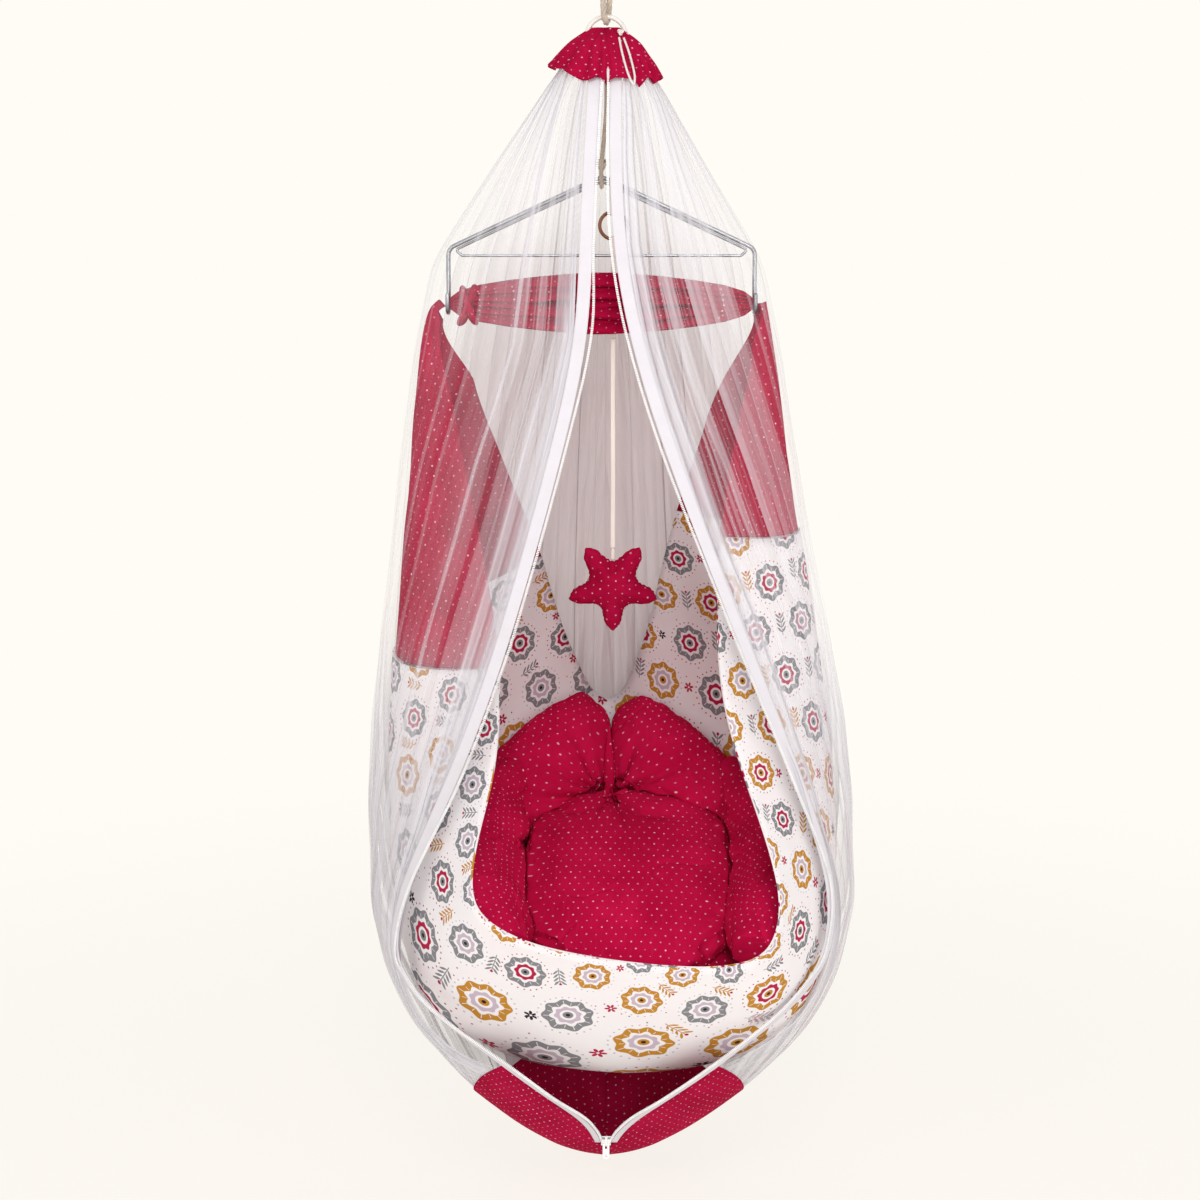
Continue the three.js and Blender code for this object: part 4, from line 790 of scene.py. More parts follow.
def metal(name, colour, worn, roughness, streak_scale):
    """Metal with fine drawn streaks, duller patches and a little wear."""
    finish = Finish(name, roughness, metallic=1.0)
    place = finish.object_place()
    x, y, z = finish.axes(place)
    streaks = finish.cloud(finish.vector(x * 0.3, y * 6, z * 6), streak_scale, 4)
    patches = finish.cloud(place, 35, 4)
    finish.set("Base Color", finish.mix(patches.step(0.45, 0.75), colour, worn))
    finish.set("Roughness", streaks * 0.18 + patches * 0.12 + (roughness - 0.12))
    finish.relief(streaks, GRAIN_RELIEF, 0.3)
    return finish.material


def plastic(name, colour, shaded, roughness):
    """Moulded plastic or resin: faint mottling, soft gloss and a grain."""
    finish = Finish(name, roughness, coat_weight=0.15)
    place = finish.object_place()
    patches = finish.cloud(place, 60, 3)
    grain = finish.cloud(place, 1500, 2)
    finish.set("Base Color", finish.mix(patches.step(0.4, 0.8) * 0.6, colour, shaded))
    finish.set("Roughness", patches * 0.15 + (roughness - 0.07))
    finish.relief(grain, GRAIN_RELIEF, 0.4)
    return finish.material


# Mesh helpers


def coordinates(mesh):
    """The places of a mesh's points."""
    places = np.zeros(len(mesh.vertices) * 3, np.float32)
    mesh.vertices.foreach_get("co", places)
    return places.reshape(-1, 3).astype(float)


def normals(mesh):
    """The outward directions at a mesh's points."""
    found = np.zeros(len(mesh.vertices) * 3, np.float32)
    mesh.vertex_normals.foreach_get("vector", found)
    return found.reshape(-1, 3).astype(float)


def put(mesh, places):
    """Moves a mesh's points to these places."""
    mesh.vertices.foreach_set("co", places.astype(np.float32).ravel())
    mesh.update()


def new_piece(name, places, faces, material):
    """A smooth-shaded mesh object from points and faces."""
    mesh = bpy.data.meshes.new(name)
    mesh.from_pydata([tuple(place) for place in places], [], faces)
    mesh.polygons.foreach_set("use_smooth", [True] * len(mesh.polygons))
    mesh.materials.append(material)
    piece = bpy.data.objects.new(name, mesh)
    bpy.context.scene.collection.objects.link(piece)
    return piece


def middle_of(node):
    """The middle of a CAD node's box."""
    low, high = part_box(node)
    return [(low[k] + high[k]) / 2 for k in range(3)]


def stand_for(piece, slot, *nodes):
    """The piece takes the place of CAD nodes and moves with their body."""
    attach(piece, body_by_node[nodes[0]])
    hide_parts(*nodes)
    return piece


def settle(piece):
    """Turns a piece's modifiers into its mesh."""
    graph = bpy.context.evaluated_depsgraph_get()
    done = bpy.data.meshes.new_from_object(piece.evaluated_get(graph))
    piece.modifiers.clear()
    piece.data = done
    done.polygons.foreach_set("use_smooth", [True] * len(done.polygons))
    return piece


def modify(piece, kind, **settings):
    """Gives a piece a modifier with these settings."""
    modifier = piece.modifiers.new(kind.lower(), kind)
    for name, value in settings.items():
        setattr(modifier, name, value)
    return modifier


def subdivide(piece, levels):
    """A smoother piece with finer faces."""
    modify(piece, "SUBSURF", levels=levels)
    return settle(piece)


def copy_of(node, name, material):
    """A welded copy of a CAD node in quads where it can be, with its sharp edges marked to stay."""
    shape = bmesh.new()
    shape.from_mesh(frame["nodes"][node].data)
    bmesh.ops.remove_doubles(shape, verts=shape.verts, dist=WELD)
    bmesh.ops.join_triangles(
        shape,
        faces=shape.faces,
        angle_face_threshold=QUAD_FACE_ANGLE,
        angle_shape_threshold=QUAD_SHAPE_ANGLE,
    )
    shape.verts.ensure_lookup_table()
    places = [vertex.co.copy() for vertex in shape.verts]
    faces = [[vertex.index for vertex in face.verts] for face in shape.faces]
    sharp = set()
    for edge in shape.edges:
        if len(edge.link_faces) == 2 and edge.calc_face_angle() > math.radians(SHARP_ANGLE):
            sharp.add(frozenset(vertex.index for vertex in edge.verts))
    shape.free()
    piece = new_piece(name, places, faces, material)
    crease = piece.data.attributes.new("crease_edge", "FLOAT", "EDGE")
    for place, edge in enumerate(piece.data.edges):
        crease.data[place].value = 1.0 if frozenset(edge.vertices) in sharp else 0.0
    return piece


def mesh_area(mesh):
    """The area of all of a mesh's faces."""
    return sum(face.area for face in mesh.polygons)


def map_places(mesh):
    """The cloth map's place of each face corner."""
    places = np.zeros(len(mesh.loops) * 2, np.float32)
    mesh.uv_layers.active.data.foreach_get("uv", places)
    return places.reshape(-1, 2)


def map_stretch(mesh):
    """How unevenly the cloth map is stretched, and its usual ratio of map to skin."""
    places = map_places(mesh)
    ratios = []
    for face in mesh.polygons:
        corners = places[face.loop_start : face.loop_start + face.loop_total]
        x, y = corners[:, 0], corners[:, 1]
        flat = 0.5 * abs(float(np.dot(x, np.roll(y, -1)) - np.dot(y, np.roll(x, -1))))
        ratios.append(flat / max(face.area, 1e-12))
    low, usual, high = np.percentile(ratios, (3, 50, 97))
    return high / max(low, 1e-9), usual


def select_only(pieces):
    """Selects these pieces alone, with the first one active."""
    bpy.ops.object.select_all(action="DESELECT")
    for piece in pieces:
        piece.select_set(True)
    bpy.context.view_layer.objects.active = pieces[0]


def unroll(operator, **settings):
    """Runs an unwrapping operator on the active piece's whole skin."""
    bpy.ops.object.mode_set(mode="EDIT")
    bpy.ops.mesh.select_all(action="SELECT")
    operator(**settings)
    bpy.ops.object.mode_set(mode="OBJECT")


def lay_flat(piece, is_seam):
    """Unrolls a piece's skin into cloth metres, cut along the edges that is_seam names."""
    mesh = piece.data
    shape = bmesh.new()
    shape.from_mesh(mesh)
    for edge in shape.edges:
        edge.seam = len(edge.link_faces) == 2 and is_seam(edge)
    for face in shape.faces:
        face.select = True
    shape.to_mesh(mesh)
    shape.free()
    if not mesh.uv_layers:
        mesh.uv_layers.new(name="cloth")
    select_only([piece])
    unroll(bpy.ops.uv.unwrap, method="ANGLE_BASED", margin=0.001)
    if map_stretch(mesh)[0] > MOST_STRETCH:
        unroll(bpy.ops.uv.smart_project, angle_limit=math.radians(66), island_margin=0.001)
    piece.select_set(False)
    scale = math.sqrt(1 / max(map_stretch(mesh)[1], 1e-9))
    mesh.uv_layers.active.data.foreach_set("uv", map_places(mesh).ravel() * scale)
    mesh.update()


def rim_edge(edge):
    """An edge where a thin cloth's face turns into its rim."""
    return edge.calc_face_angle() > math.radians(RIM_ANGLE)


def wave(places, scale, seed=0):
    """Soft noise from -1 to 1 for each place, with a scale per metre along each axis."""
    shift = Vector((17.3 * seed, -9.1 * seed, 5.7 * seed))
    scaled = places * np.array(scale)
    return np.array([noise.noise(Vector(place) + shift) for place in scaled])


def blur(values, times):
    """Each row of values averaged with its neighbours, some times over."""
    for _ in range(times):
        wide = np.pad(values, [(0, 0), (1, 1)], "edge")
        values = (wide[:, :-2] + 2 * wide[:, 1:-1] + wide[:, 2:]) / 4
    return values


def grid_piece(name, grid, material, turned=False):
    """A sheet through a grid of points, with its cloth map in metres along and across it."""
    rows, columns = grid.shape[:2]
    faces = []
    for i in range(rows - 1):
        for j in range(columns - 1):
            a = i * columns + j
            face = (a, a + 1, a + columns + 1, a + columns)
            faces.append(face[::-1] if turned else face)
    piece = new_piece(name, grid.reshape(-1, 3), faces, material)
    across = np.linalg.norm(np.diff(grid, axis=1), axis=2)
    along = np.linalg.norm(np.diff(grid, axis=0), axis=2)
    u = np.concatenate([np.zeros((rows, 1)), np.cumsum(across, axis=1)], axis=1)
    u -= u[:, columns // 2 : columns // 2 + 1]
    v = np.concatenate([np.zeros((1, columns)), np.cumsum(along, axis=0)], axis=0)
    layer = piece.data.uv_layers.new(name="cloth")
    corner = np.zeros(len(piece.data.loops), np.int32)
    piece.data.loops.foreach_get("vertex_index", corner)
    flat = np.stack([u.ravel()[corner], v.ravel()[corner]], axis=1)
    layer.data.foreach_set("uv", flat.astype(np.float32).ravel())
    return piece


# Camera


def add_camera():
    """The camera at the photograph's viewing angle."""
    camera = bpy.data.objects.new("camera", bpy.data.cameras.new("camera"))
    camera.data.lens = LENS
    camera.data.sensor_width = SENSOR
    tilt = math.radians(CAMERA_ELEVATION)
    back = Vector((0, -math.cos(tilt), math.sin(tilt))) * CAMERA_DISTANCE
    camera.location = Vector(CAMERA_TARGET) + back
    camera.rotation_euler = (math.pi / 2 - tilt, 0, 0)
    bpy.context.scene.collection.objects.link(camera)
    bpy.context.scene.camera = camera


# Ropes and cords


def between(a, b, c, d, share):
    """The place at a share of the way from b to c, on a smooth curve that also heeds a and d."""
    bend = 2 * a - 5 * b + 4 * c - d
    turn = 3 * b - a - 3 * c + d
    return 0.5 * (2 * b + (c - a) * share + bend * share * share + turn * share**3)


def far_along(line):
    """How far along a line each of its points is."""
    return np.concatenate([[0], np.cumsum(np.linalg.norm(np.diff(line, axis=0), axis=1))])


def smooth_line(route, count, closed=False):
    """Points evenly spaced along a smooth curve through the route."""
    route = [np.array(place, float) for place in route]
    if closed:
        ends = [route[-1], *route, route[0], route[1]]
    else:
        ends = [2 * route[0] - route[1], *route, 2 * route[-1] - route[-2]]
    shares = np.linspace(0, 1, CURVE_STEPS, endpoint=False)
    fine = [between(*ends[k : k + 4], share) for k in range(len(ends) - 3) for share in shares]
    fine = np.array([*fine, ends[-2]])
    steps = far_along(fine)
    at = np.linspace(0, steps[-1], count)
    return np.stack([np.interp(at, steps, fine[:, k]) for k in range(3)], axis=1)


def carried_frames(line, closed=False):
    """Directions along, to the side of and above a line, carried without twisting."""
    if closed:
        ahead = np.roll(line, -1, axis=0) - np.roll(line, 1, axis=0)
    else:
        ahead = np.gradient(line, axis=0)
    ahead /= np.linalg.norm(ahead, axis=1)[:, None]
    start = np.array([0, 1, 0]) if abs(ahead[0][1]) < 0.8 else np.array([1, 0, 0])
    sides = []
    side = np.cross(start, ahead[0])
    for direction in ahead:
        side = side - direction * (side @ direction)
        side = side / np.linalg.norm(side)
        sides.append(side)
    sides = np.array(sides)
    return ahead, sides, np.cross(ahead, sides)


def tube_rings(line, radius, sides_count, closed=False):
    """Rings of points round a line, and the faces that join them."""
    _, side, up = carried_frames(line, closed)
    angles = np.linspace(0, 2 * math.pi, sides_count, endpoint=False)
    size = np.broadcast_to(radius, (len(line),))[:, None, None]
    rings = line[:, None, :] + size * (
        np.cos(angles)[None, :, None] * side[:, None, :]
        + np.sin(angles)[None, :, None] * up[:, None, :]
    )
    faces = []
    bands = len(line) if closed else len(line) - 1
    for k in range(bands):
        after = (k + 1) % len(line)
        for i in range(sides_count):
            j = (i + 1) % sides_count
            first, second = k * sides_count, after * sides_count
            faces.append((first + i, first + j, second + j, second + i))
    if not closed:
        faces.append(tuple(range(sides_count))[::-1])
        last = (len(line) - 1) * sides_count
        faces.append(tuple(last + i for i in range(sides_count)))
    return rings.reshape(-1, 3), faces


def joined_tubes(tubes):
    """Several tubes as one list of points and one of faces."""
    places, faces, start = [], [], 0
    for points, quads in tubes:
        places.append(points)
        faces += [tuple(start + corner for corner in quad) for quad in quads]
        start += len(points)
    return np.concatenate(places), faces


def laid_rope(name, line, diameter, material, closed=False, lay=ROPE_LAY):
    """A rope of strands laid round each other along a line."""
    far = far_along(line)
    turns = round(far[-1] / lay)
    _, side, up = carried_frames(line, closed)
    strand_radius = diameter * STRAND_SHARE
    offset = diameter / 2 - strand_radius
    tubes = []
    for strand in range(ROPE_STRANDS):
        angle = 2 * math.pi * (turns * far / far[-1] + strand / ROPE_STRANDS)
        middle = line + offset * (np.cos(angle)[:, None] * side + np.sin(angle)[:, None] * up)
        tubes.append(tube_rings(middle, strand_radius, STRAND_SIDES, closed))
    return new_piece(name, *joined_tubes(tubes), material)


def upper_rope(material):
    """The loop over the ceiling hook and through the ring, on the route that the CAD solid has."""
    hook_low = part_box("ceiling_hook")[0]
    ring_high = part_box("suspension_ring")[1]
    seat = hook_low.z + HOOK_ROD
    ring_top = ring_high.z - RING_ROD
    bend = ROPE_DIAMETER / 2 + HOOK_ROD + GAP
    wrap = ROPE_DIAMETER / 2 + RING_ROD + GAP
    lay = ROPE_DIAMETER / 2 + GAP
    corner = math.sqrt(0.5)

    def height(share):
        return seat + (ring_top - seat) * share

    half = [
        (0, 0, seat + bend),
        (-bend * corner, 0, seat + bend * corner),
        (-bend, 0, seat),
        (-(bend * 0.6 + lay * 0.4), 0, height(0.3)),
        (-lay, 0, height(0.6)),
        (-lay * 0.85, -wrap * 0.55, height(0.85)),
        (-lay * 0.6, -wrap, ring_top),
        (-lay * 0.3, -wrap * corner, ring_top - wrap * corner),
        (0, 0, ring_top - wrap),
    ]
    other = [(-x, -y, z) for x, y, z in half[1:-1][::-1]]
    line = smooth_line([*half, *other], UPPER_ROPE_POINTS, closed=True)
    rope = laid_rope("upper_rope_laid", line[:-1], ROPE_DIAMETER, material, closed=True)
    stand_for(rope, "rope_cord", "upper_rope")


def lower_rope(material):
    """The knotted loop between the ring and the hanger, inside the net."""
    radius = LOWER_ROPE_DIAMETER / 2
    ring_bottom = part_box("suspension_ring")[0].z + RING_ROD
    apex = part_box("hanger_bow")[1].z - BOW_ROD
    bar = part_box("hanger_brace")[1].z - BRACE_ROD - BRACE_ROD + BOW_ROD
    x = middle_of("hanger_bow")[0]
    knot_z = apex + LOWER_KNOT_RADIUS + BOW_ROD + 2 * radius
    ring_wrap = RING_ROD + radius + GAP
    bar_wrap = BOW_ROD + radius + CLOTH_GAP
    halfway = (ring_bottom + knot_z) / 2
    angles = np.linspace(0, math.pi, 7)
    over_ring = [(0, ring_wrap * math.cos(a), ring_bottom + ring_wrap * math.sin(a)) for a in angles]
    under_bar = [(x, -bar_wrap * math.cos(a), bar - bar_wrap * math.sin(a)) for a in angles]
    front = [(0, -radius - GAP, halfway), (x, -radius - GAP, knot_z)]
    back = [(x, radius + GAP, knot_z), (0, radius + GAP, halfway)]
    route = [*over_ring, *front, *under_bar, *back]
    line = smooth_line(route, LOWER_ROPE_POINTS, closed=True)
    rope = laid_rope("lower_rope_laid", line[:-1], LOWER_ROPE_DIAMETER, material, closed=True)
    stand_for(rope, "rope_cord", "lower_rope")
    middle = (x, 0, knot_z)
    knot = knot_piece("lower_rope_knot", middle, LOWER_KNOT_RADIUS, radius * 0.85, material)
    ride_with(knot, "lower_rope")
    spare = [
        (x, -radius, knot_z),
        (x - LOWER_KNOT_RADIUS, -radius, knot_z + LOWER_TAIL / 4),
        (x - LOWER_KNOT_RADIUS + radius, -radius, knot_z + LOWER_TAIL),
    ]
    spare = smooth_line(spare, LOWER_TAIL_POINTS)
    tail = laid_rope("lower_rope_spare_end", spare, LOWER_ROPE_DIAMETER * 0.9, material)
    ride_with(tail, "lower_rope")


def drawstring(material):
    """The collar's cord: a knot at the ring and a loop that hangs over the cloth."""
    line = smooth_line(np.array(DRAWSTRING_ROUTE) * MM, DRAWSTRING_POINTS)
    cord = laid_rope("drawstring_laid", line, DRAWSTRING_DIAMETER, material, lay=DRAWSTRING_LAY)
    stand_for(cord, "rope_cord", "net_drawstring")
    low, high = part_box("drawstring_knot")
    reach_out = (high.x - low.x) / 2
    knot = knot_piece(
        "drawstring_knot_tied", (low + high) / 2, reach_out, DRAWSTRING_KNOT_CORD, material
    )
    stand_for(knot, "rope_cord", "drawstring_knot")


def line_length(line):
    """The length of a line through its points."""
    return float(np.linalg.norm(np.diff(line, axis=0), axis=1).sum())


def knot_piece(name, middle, reach_out, radius, material):
    """A tight knot: one closed tube that goes three times round and through itself."""
    turn = np.linspace(0, 2 * math.pi, KNOT_POINTS, endpoint=False)
    size = (reach_out - radius) / 3
    x = (np.sin(turn) + 2 * np.sin(2 * turn)) * size
    z = (np.cos(turn) - 2 * np.cos(2 * turn)) * size
    y = -np.sin(3 * turn) * radius * 1.1
    line = np.stack([x, y, z], axis=1) + np.array(middle)
    return new_piece(name, *tube_rings(line, radius, STRAND_SIDES, closed=True), material)


def ride_with(piece, node):
    """The piece moves with a CAD node's body without standing for it."""
    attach(piece, body_by_node[node])
    return piece


def ribbons(material):
    """The toy's strap and ribbon: flat woven bands with a slight twist."""
    bands = {}
    for node, name in (
        ("toy_strap", "toy_strap_band"),
        ("toy_ribbon_upper", "toy_ribbon_looped"),
        ("star_loop", "star_loop_band"),
    ):
        bands[node] = subdivide(copy_of(node, name, material), 2)
        stand_for(bands[node], "white_tape", node)
    x = middle_of("toy_ribbon_upper")[0]
    y = middle_of("toy_ribbon")[1]
    bend_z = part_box("toy_ribbon_upper")[0].z
    low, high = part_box("toy_ribbon")
    eye_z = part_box("toy_ring")[0].z + TOY_RING_ROD
    path = [(x, 0, eye_z), (x, y, eye_z - RIBBON_BEND)]
    path += [(x, y, z) for z in np.linspace(eye_z - 2 * RIBBON_BEND, bend_z, 20)]
    grid = twisted_band(x, y, high.z, low.z)
    ribbon = grid_piece("toy_ribbon_band", grid, material)
    modify(ribbon, "SOLIDIFY", thickness=RIBBON_THICKNESS, offset=0)
    settle(ribbon)
    stand_for(ribbon, "white_tape", "toy_ribbon")


def twisted_band(x, y, top, bottom):
    """A hanging ribbon as a grid of points, with a slight twist and sway between its ends."""
    grid = np.zeros((RIBBON_STEPS, RIBBON_COLUMNS, 3))
    for row, z in enumerate(np.linspace(top, bottom, RIBBON_STEPS)):
        share = row / (RIBBON_STEPS - 1)
        ends = math.sin(math.pi * share)
        twist = RIBBON_TWIST * math.sin(2 * math.pi * share) * ends
        sway = RIBBON_SWAY * math.sin(9 * share) * ends
        for column, across in enumerate(np.linspace(-1, 1, RIBBON_COLUMNS)):
            out = across * RIBBON_WIDTH / 2
            grid[row, column] = (x + out * math.cos(twist), y + out * math.sin(twist) + sway, z)
    return grid


# Cloth sheets


def hang(piece, places, slot, node, held, *rests_on):
    put(piece.data, places)
    stand_for(piece, slot, node)
    declare_sheet(piece)


def declare_sheet(piece):
    """Works out the sheet's area, half the skin's for a closed one, and its box, but keeps neither."""
    area = mesh_area(piece.data) / (2 if is_closed(piece.data) else 1)
    low = np.min(coordinates(piece.data), axis=0)
    high = np.max(coordinates(piece.data), axis=0)


def is_closed(mesh):
    """Whether a mesh has no open edge."""
    shape = bmesh.new()
    shape.from_mesh(mesh)
    closed = not any(edge.is_boundary for edge in shape.edges)
    shape.free()
    return closed


def away_from(places, middle, flat=False):
    """Directions that point from a middle to each place."""
    out = places - np.array(middle)
    if flat:
        out[:, 2] = 0
    return out / np.maximum(np.linalg.norm(out, axis=1), 1e-6)[:, None]


def cloth_copy(node, name, material):
    """A CAD cloth's copy, unrolled and made fine enough for folds."""
    piece = copy_of(node, name, material)
    lay_flat(piece, rim_edge)
    return subdivide(piece, CLOTH_LEVELS)


def side_panels(material):
    """The crimson panels from the hooks down, with folds that fan out of the hooks."""
    for side in SIDES:
        node = side + "_side_panel"
        panel = cloth_copy(node, node + "_cloth", material)
        places = coordinates(panel.data)
        low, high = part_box(node)
        hook = np.array([high.x if side == "left" else low.x, 0, high.z])
        drop = (high.z - places[:, 2]) / (high.z - low.z)
        fan = np.arctan2(places[:, 1], hook[2] + PANEL_FAN_ABOVE - places[:, 2])
        ridge = np.abs(np.sin(fan * PANEL_FAN_FOLDS + 1.1 * wave(places, 9, 1)))
        folds = (ridge**0.7 * 2 - 1) * (1 - drop) ** 1.1
        soft = wave(places, (7, 16, 3), 2) * np.minimum(1, drop * 3)
        out = away_from(places, (0, 0, 0), flat=True)
        loose = smooth_step(places[:, 2] - low.z, SEAM_FIXED, SEAM_LOOSE)
        depth = (folds * PANEL_FOLD + soft * PANEL_RUMPLE) * loose
        hang(panel, places + out * depth[:, None], "crimson_cloth", node, "hung", "hanger_bow")


def sling(material):
    """The printed cloth that holds the nest, with soft folds that calm near its seams with the side
    panels.
    """
    cloth = cloth_copy("sling_body", "sling_cloth", material)
    places = coordinates(cloth.data)
    low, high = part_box("sling_body")
    middle = (0, 0, middle_of("sling_body")[2])
    drop = (high.z - places[:, 2]) / (high.z - low.z)
    ripples = wave(places, (6, 14, 3.5), 3) * (1 - drop) + wave(places, (14, 9, 9), 4) * 0.4
    for side, sign in SIDES.items():
        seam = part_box(side + "_side_panel")[0].z
        near = (sign * places[:, 0] > 0) & (places[:, 2] > seam - SEAM_REACH)
        ripples[near] *= smooth_step(np.abs(places[near, 2] - seam), SEAM_FIXED, SEAM_LOOSE)
    places = places + away_from(places, middle) * (ripples * SLING_RUMPLE)[:, None]
    panels = [side + "_side_panel_cloth" for side in SIDES]
    hang(cloth, places, "printed_cloth", "sling_body", "hung", *panels)


def outline_above_below(node, lengths):
    """Heights of a node's upper and lower faces at places along its length."""
    tree = tree_of(frame["nodes"][node].data)
    low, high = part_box(node)
    depth = middle_of(node)[1]
    found = []
    for start, way in ((high.z + PROBE_ROOM, -1), (low.z - PROBE_ROOM, 1)):
        row = []
        for x in lengths:
            place = tree.ray_cast(Vector((x, depth, start)), Vector((0, 0, way)))[0]
            row.append(np.nan if place is None else place.z)
        row = np.array(row)
        good = ~np.isnan(row)
        found.append(np.interp(lengths, lengths[good], row[good]))
    return found


def fold_grid(line, up, out, height, depth, around, lean=0.0):
    """A soft flattened tube along a line, as a grid of points whose last column meets its first."""
    angles = np.linspace(0, 2 * math.pi, around + 1)
    rise = height[:, None] * np.cos(angles)[None, :]
    away = depth[:, None] * np.sin(angles)[None, :] * (1 + lean * np.cos(angles)[None, :])
    return line[:, None, :] + rise[..., None] * up[:, None, :] + away[..., None] * out[:, None, :]


def joined(pieces, name):
    """Several pieces as one, with coinciding points made one and open ends closed."""
    select_only(pieces)
    bpy.ops.object.join()
    whole = bpy.context.view_layer.objects.active
    whole.select_set(False)
    whole.name = name
    shape = bmesh.new()
    shape.from_mesh(whole.data)
    bmesh.ops.remove_doubles(shape, verts=shape.verts, dist=WELD)
    bmesh.ops.holes_fill(shape, edges=[edge for edge in shape.edges if edge.is_boundary])
    bmesh.ops.recalc_face_normals(shape, faces=shape.faces)
    for face in shape.faces:
        face.smooth = True
    shape.to_mesh(whole.data)
    shape.free()
    return whole


def swag(material):
    """The cloth's top run: lengthwise folds that hang over each other, gathered at both hooks."""
    low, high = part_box("top_swag")
    lengths = np.linspace(low.x + SWAG_END, high.x - SWAG_END, SWAG_STEPS)
    top, bottom = outline_above_below("top_swag", lengths)
    depth = middle_of("top_swag")[1]
    half = (top - bottom) / 2
    thin = np.minimum(half * 0.5, SWAG_LINING_THICKNESS)
    behind = np.full(SWAG_STEPS, depth + SWAG_LINING_BACK)
    lining = swag_tube(lengths, behind, (top + bottom) / 2, half * 0.8, thin)
    pieces = [grid_piece("swag_lining", lining, material)]
    for fold in range(SWAG_FOLDS):
        grid = swag_fold(fold, lengths, top, bottom, depth)
        pieces.append(grid_piece("swag_fold_%d" % fold, grid, material))
    height = (top[SWAG_KNOT_STEP] + bottom[SWAG_KNOT_STEP]) / 2 - SWAG_KNOT_AHEAD
    middle = np.array([low.x + SWAG_KNOT_FROM_END, depth - SWAG_KNOT_AHEAD, height])
    for lean in SWAG_KNOT_LEANS:
        pieces.append(grid_piece("swag_knot", swag_wrap(middle, lean), material))
    piece = joined(pieces, "top_swag_gathered")
    stand_for(piece, "crimson_cloth", "top_swag")


def swag_tube(lengths, y, z, height, depth, lean=0.0):
    """A soft tube that runs the swag's length, at these depths and heights."""
    up = np.tile([0, 0, 1.0], (SWAG_STEPS, 1))
    out = np.tile([0, -1.0, 0], (SWAG_STEPS, 1))
    line = np.stack([lengths, y, z], axis=1)
    return fold_grid(line, up, out, height, depth, SWAG_AROUND, lean)


def swag_fold(fold, lengths, top, bottom, depth):
    """One of the swag's folds, which drifts, swells and ripples on its way between the hooks."""
    place = np.stack([lengths, np.full(SWAG_STEPS, fold * 0.37), np.zeros(SWAG_STEPS)], axis=1)
    swell = np.sin(math.pi * np.linspace(0, 1, SWAG_STEPS)) ** 0.5
    drift = wave(place, (7, 1, 1), 70 + fold) * 0.9 + wave(place, (17, 1, 1), 90 + fold) * 0.5
    share = (fold + 0.5) / SWAG_FOLDS + drift * 0.11 * swell
    size = 0.5 * (top - bottom) / SWAG_FOLDS * (1.6 + 0.5 * wave(place, (11, 1, 1), 110 + fold))
    size = np.maximum(size, SWAG_LEAST_FOLD)
    z = np.clip(bottom + (top - bottom) * share, bottom + size * 0.9, top - size * 0.9)
    thick = SWAG_THICKNESS + SWAG_SWELL * swell
    thick = thick * (1 + 0.35 * wave(place, (9, 1, 1), 130 + fold))
    aside = wave(place, (13, 1, 1), 150 + fold) * SWAG_DRIFT + (fold % 2 - 0.5) * SWAG_STAGGER
    y = depth + aside * swell - SWAG_AHEAD
    grid = swag_tube(lengths, y, z, size, thick, SWAG_LEAN)
    ripple = wave(grid.reshape(-1, 3), (24, 60, 110), 170 + fold).reshape(grid.shape[:2])
    grid[..., 1] -= ripple * SWAG_RIPPLE
    grid[:, -1] = grid[:, 0]
    return grid


def swag_wrap(middle, lean):
    """One turn of cloth round the swag's gathered left end."""
    turn = np.linspace(0, 2 * math.pi, SWAG_KNOT_POINTS)
    wide, deep, tall = SWAG_KNOT_HALF_SIZES
    line = middle + np.stack(
        [np.cos(turn) * lean * wide, np.sin(turn) * deep, np.cos(turn) * tall], axis=1
    )
    _, side, above = carried_frames(line)
    size = SWAG_WRAP + SWAG_WRAP_CHANGE * np.sin(turn * 2 + lean)
    return fold_grid(line, side, above, size, size * 0.62, SWAG_KNOT_AROUND)


def collar(material):
    """The gathered cuff over the ring, with deep gathers and a wavy hem."""
    piece = cloth_copy("net_collar", "net_collar_gathered", material)
    places = coordinates(piece.data)
    low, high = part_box("net_collar")
    angle = np.arctan2(places[:, 0], -places[:, 1])
    fall = (high.z - places[:, 2]) / (high.z - low.z)
    down = np.clip(fall, 0, 1)
    drift = wave(np.stack([np.cos(angle), np.sin(angle), fall * 0.5], axis=1), 1.7, 7)
    gathers = np.abs(np.sin(angle * COLLAR_GATHERS + drift * 4)) ** 0.6 * 2 - 1
    fine = np.sin(angle * COLLAR_FINE_GATHERS + drift * 5)
    depth = gathers * (COLLAR_GATHER + COLLAR_GATHER_GROWTH * np.minimum(1, fall * 1.6))
    depth += fine * COLLAR_FINE_GATHER * (1 - fall)
    depth += COLLAR_DOME * np.sin(math.pi * down) ** 0.8 - COLLAR_TUCK * down
    depth -= COLLAR_NECK * np.clip(1 - fall / COLLAR_NECK_SHARE, 0, 1) ** 1.5
    depth *= 1 - 0.85 * np.exp(-(((angle - DRAWSTRING_BEARING) / 0.3) ** 2))
    places = places + away_from(places, (0, 0, 0), flat=True) * depth[:, None]
    hem = np.abs(np.sin(angle * COLLAR_HEM_WAVES + drift * 2)) * 2 - 1 + 0.8 * drift
    places[:, 2] += np.clip(fall - 0.5, 0, 1) * COLLAR_HEM * hem
    hang(piece, places, "crimson_cloth", "net_collar", "gathered", "suspension_ring")


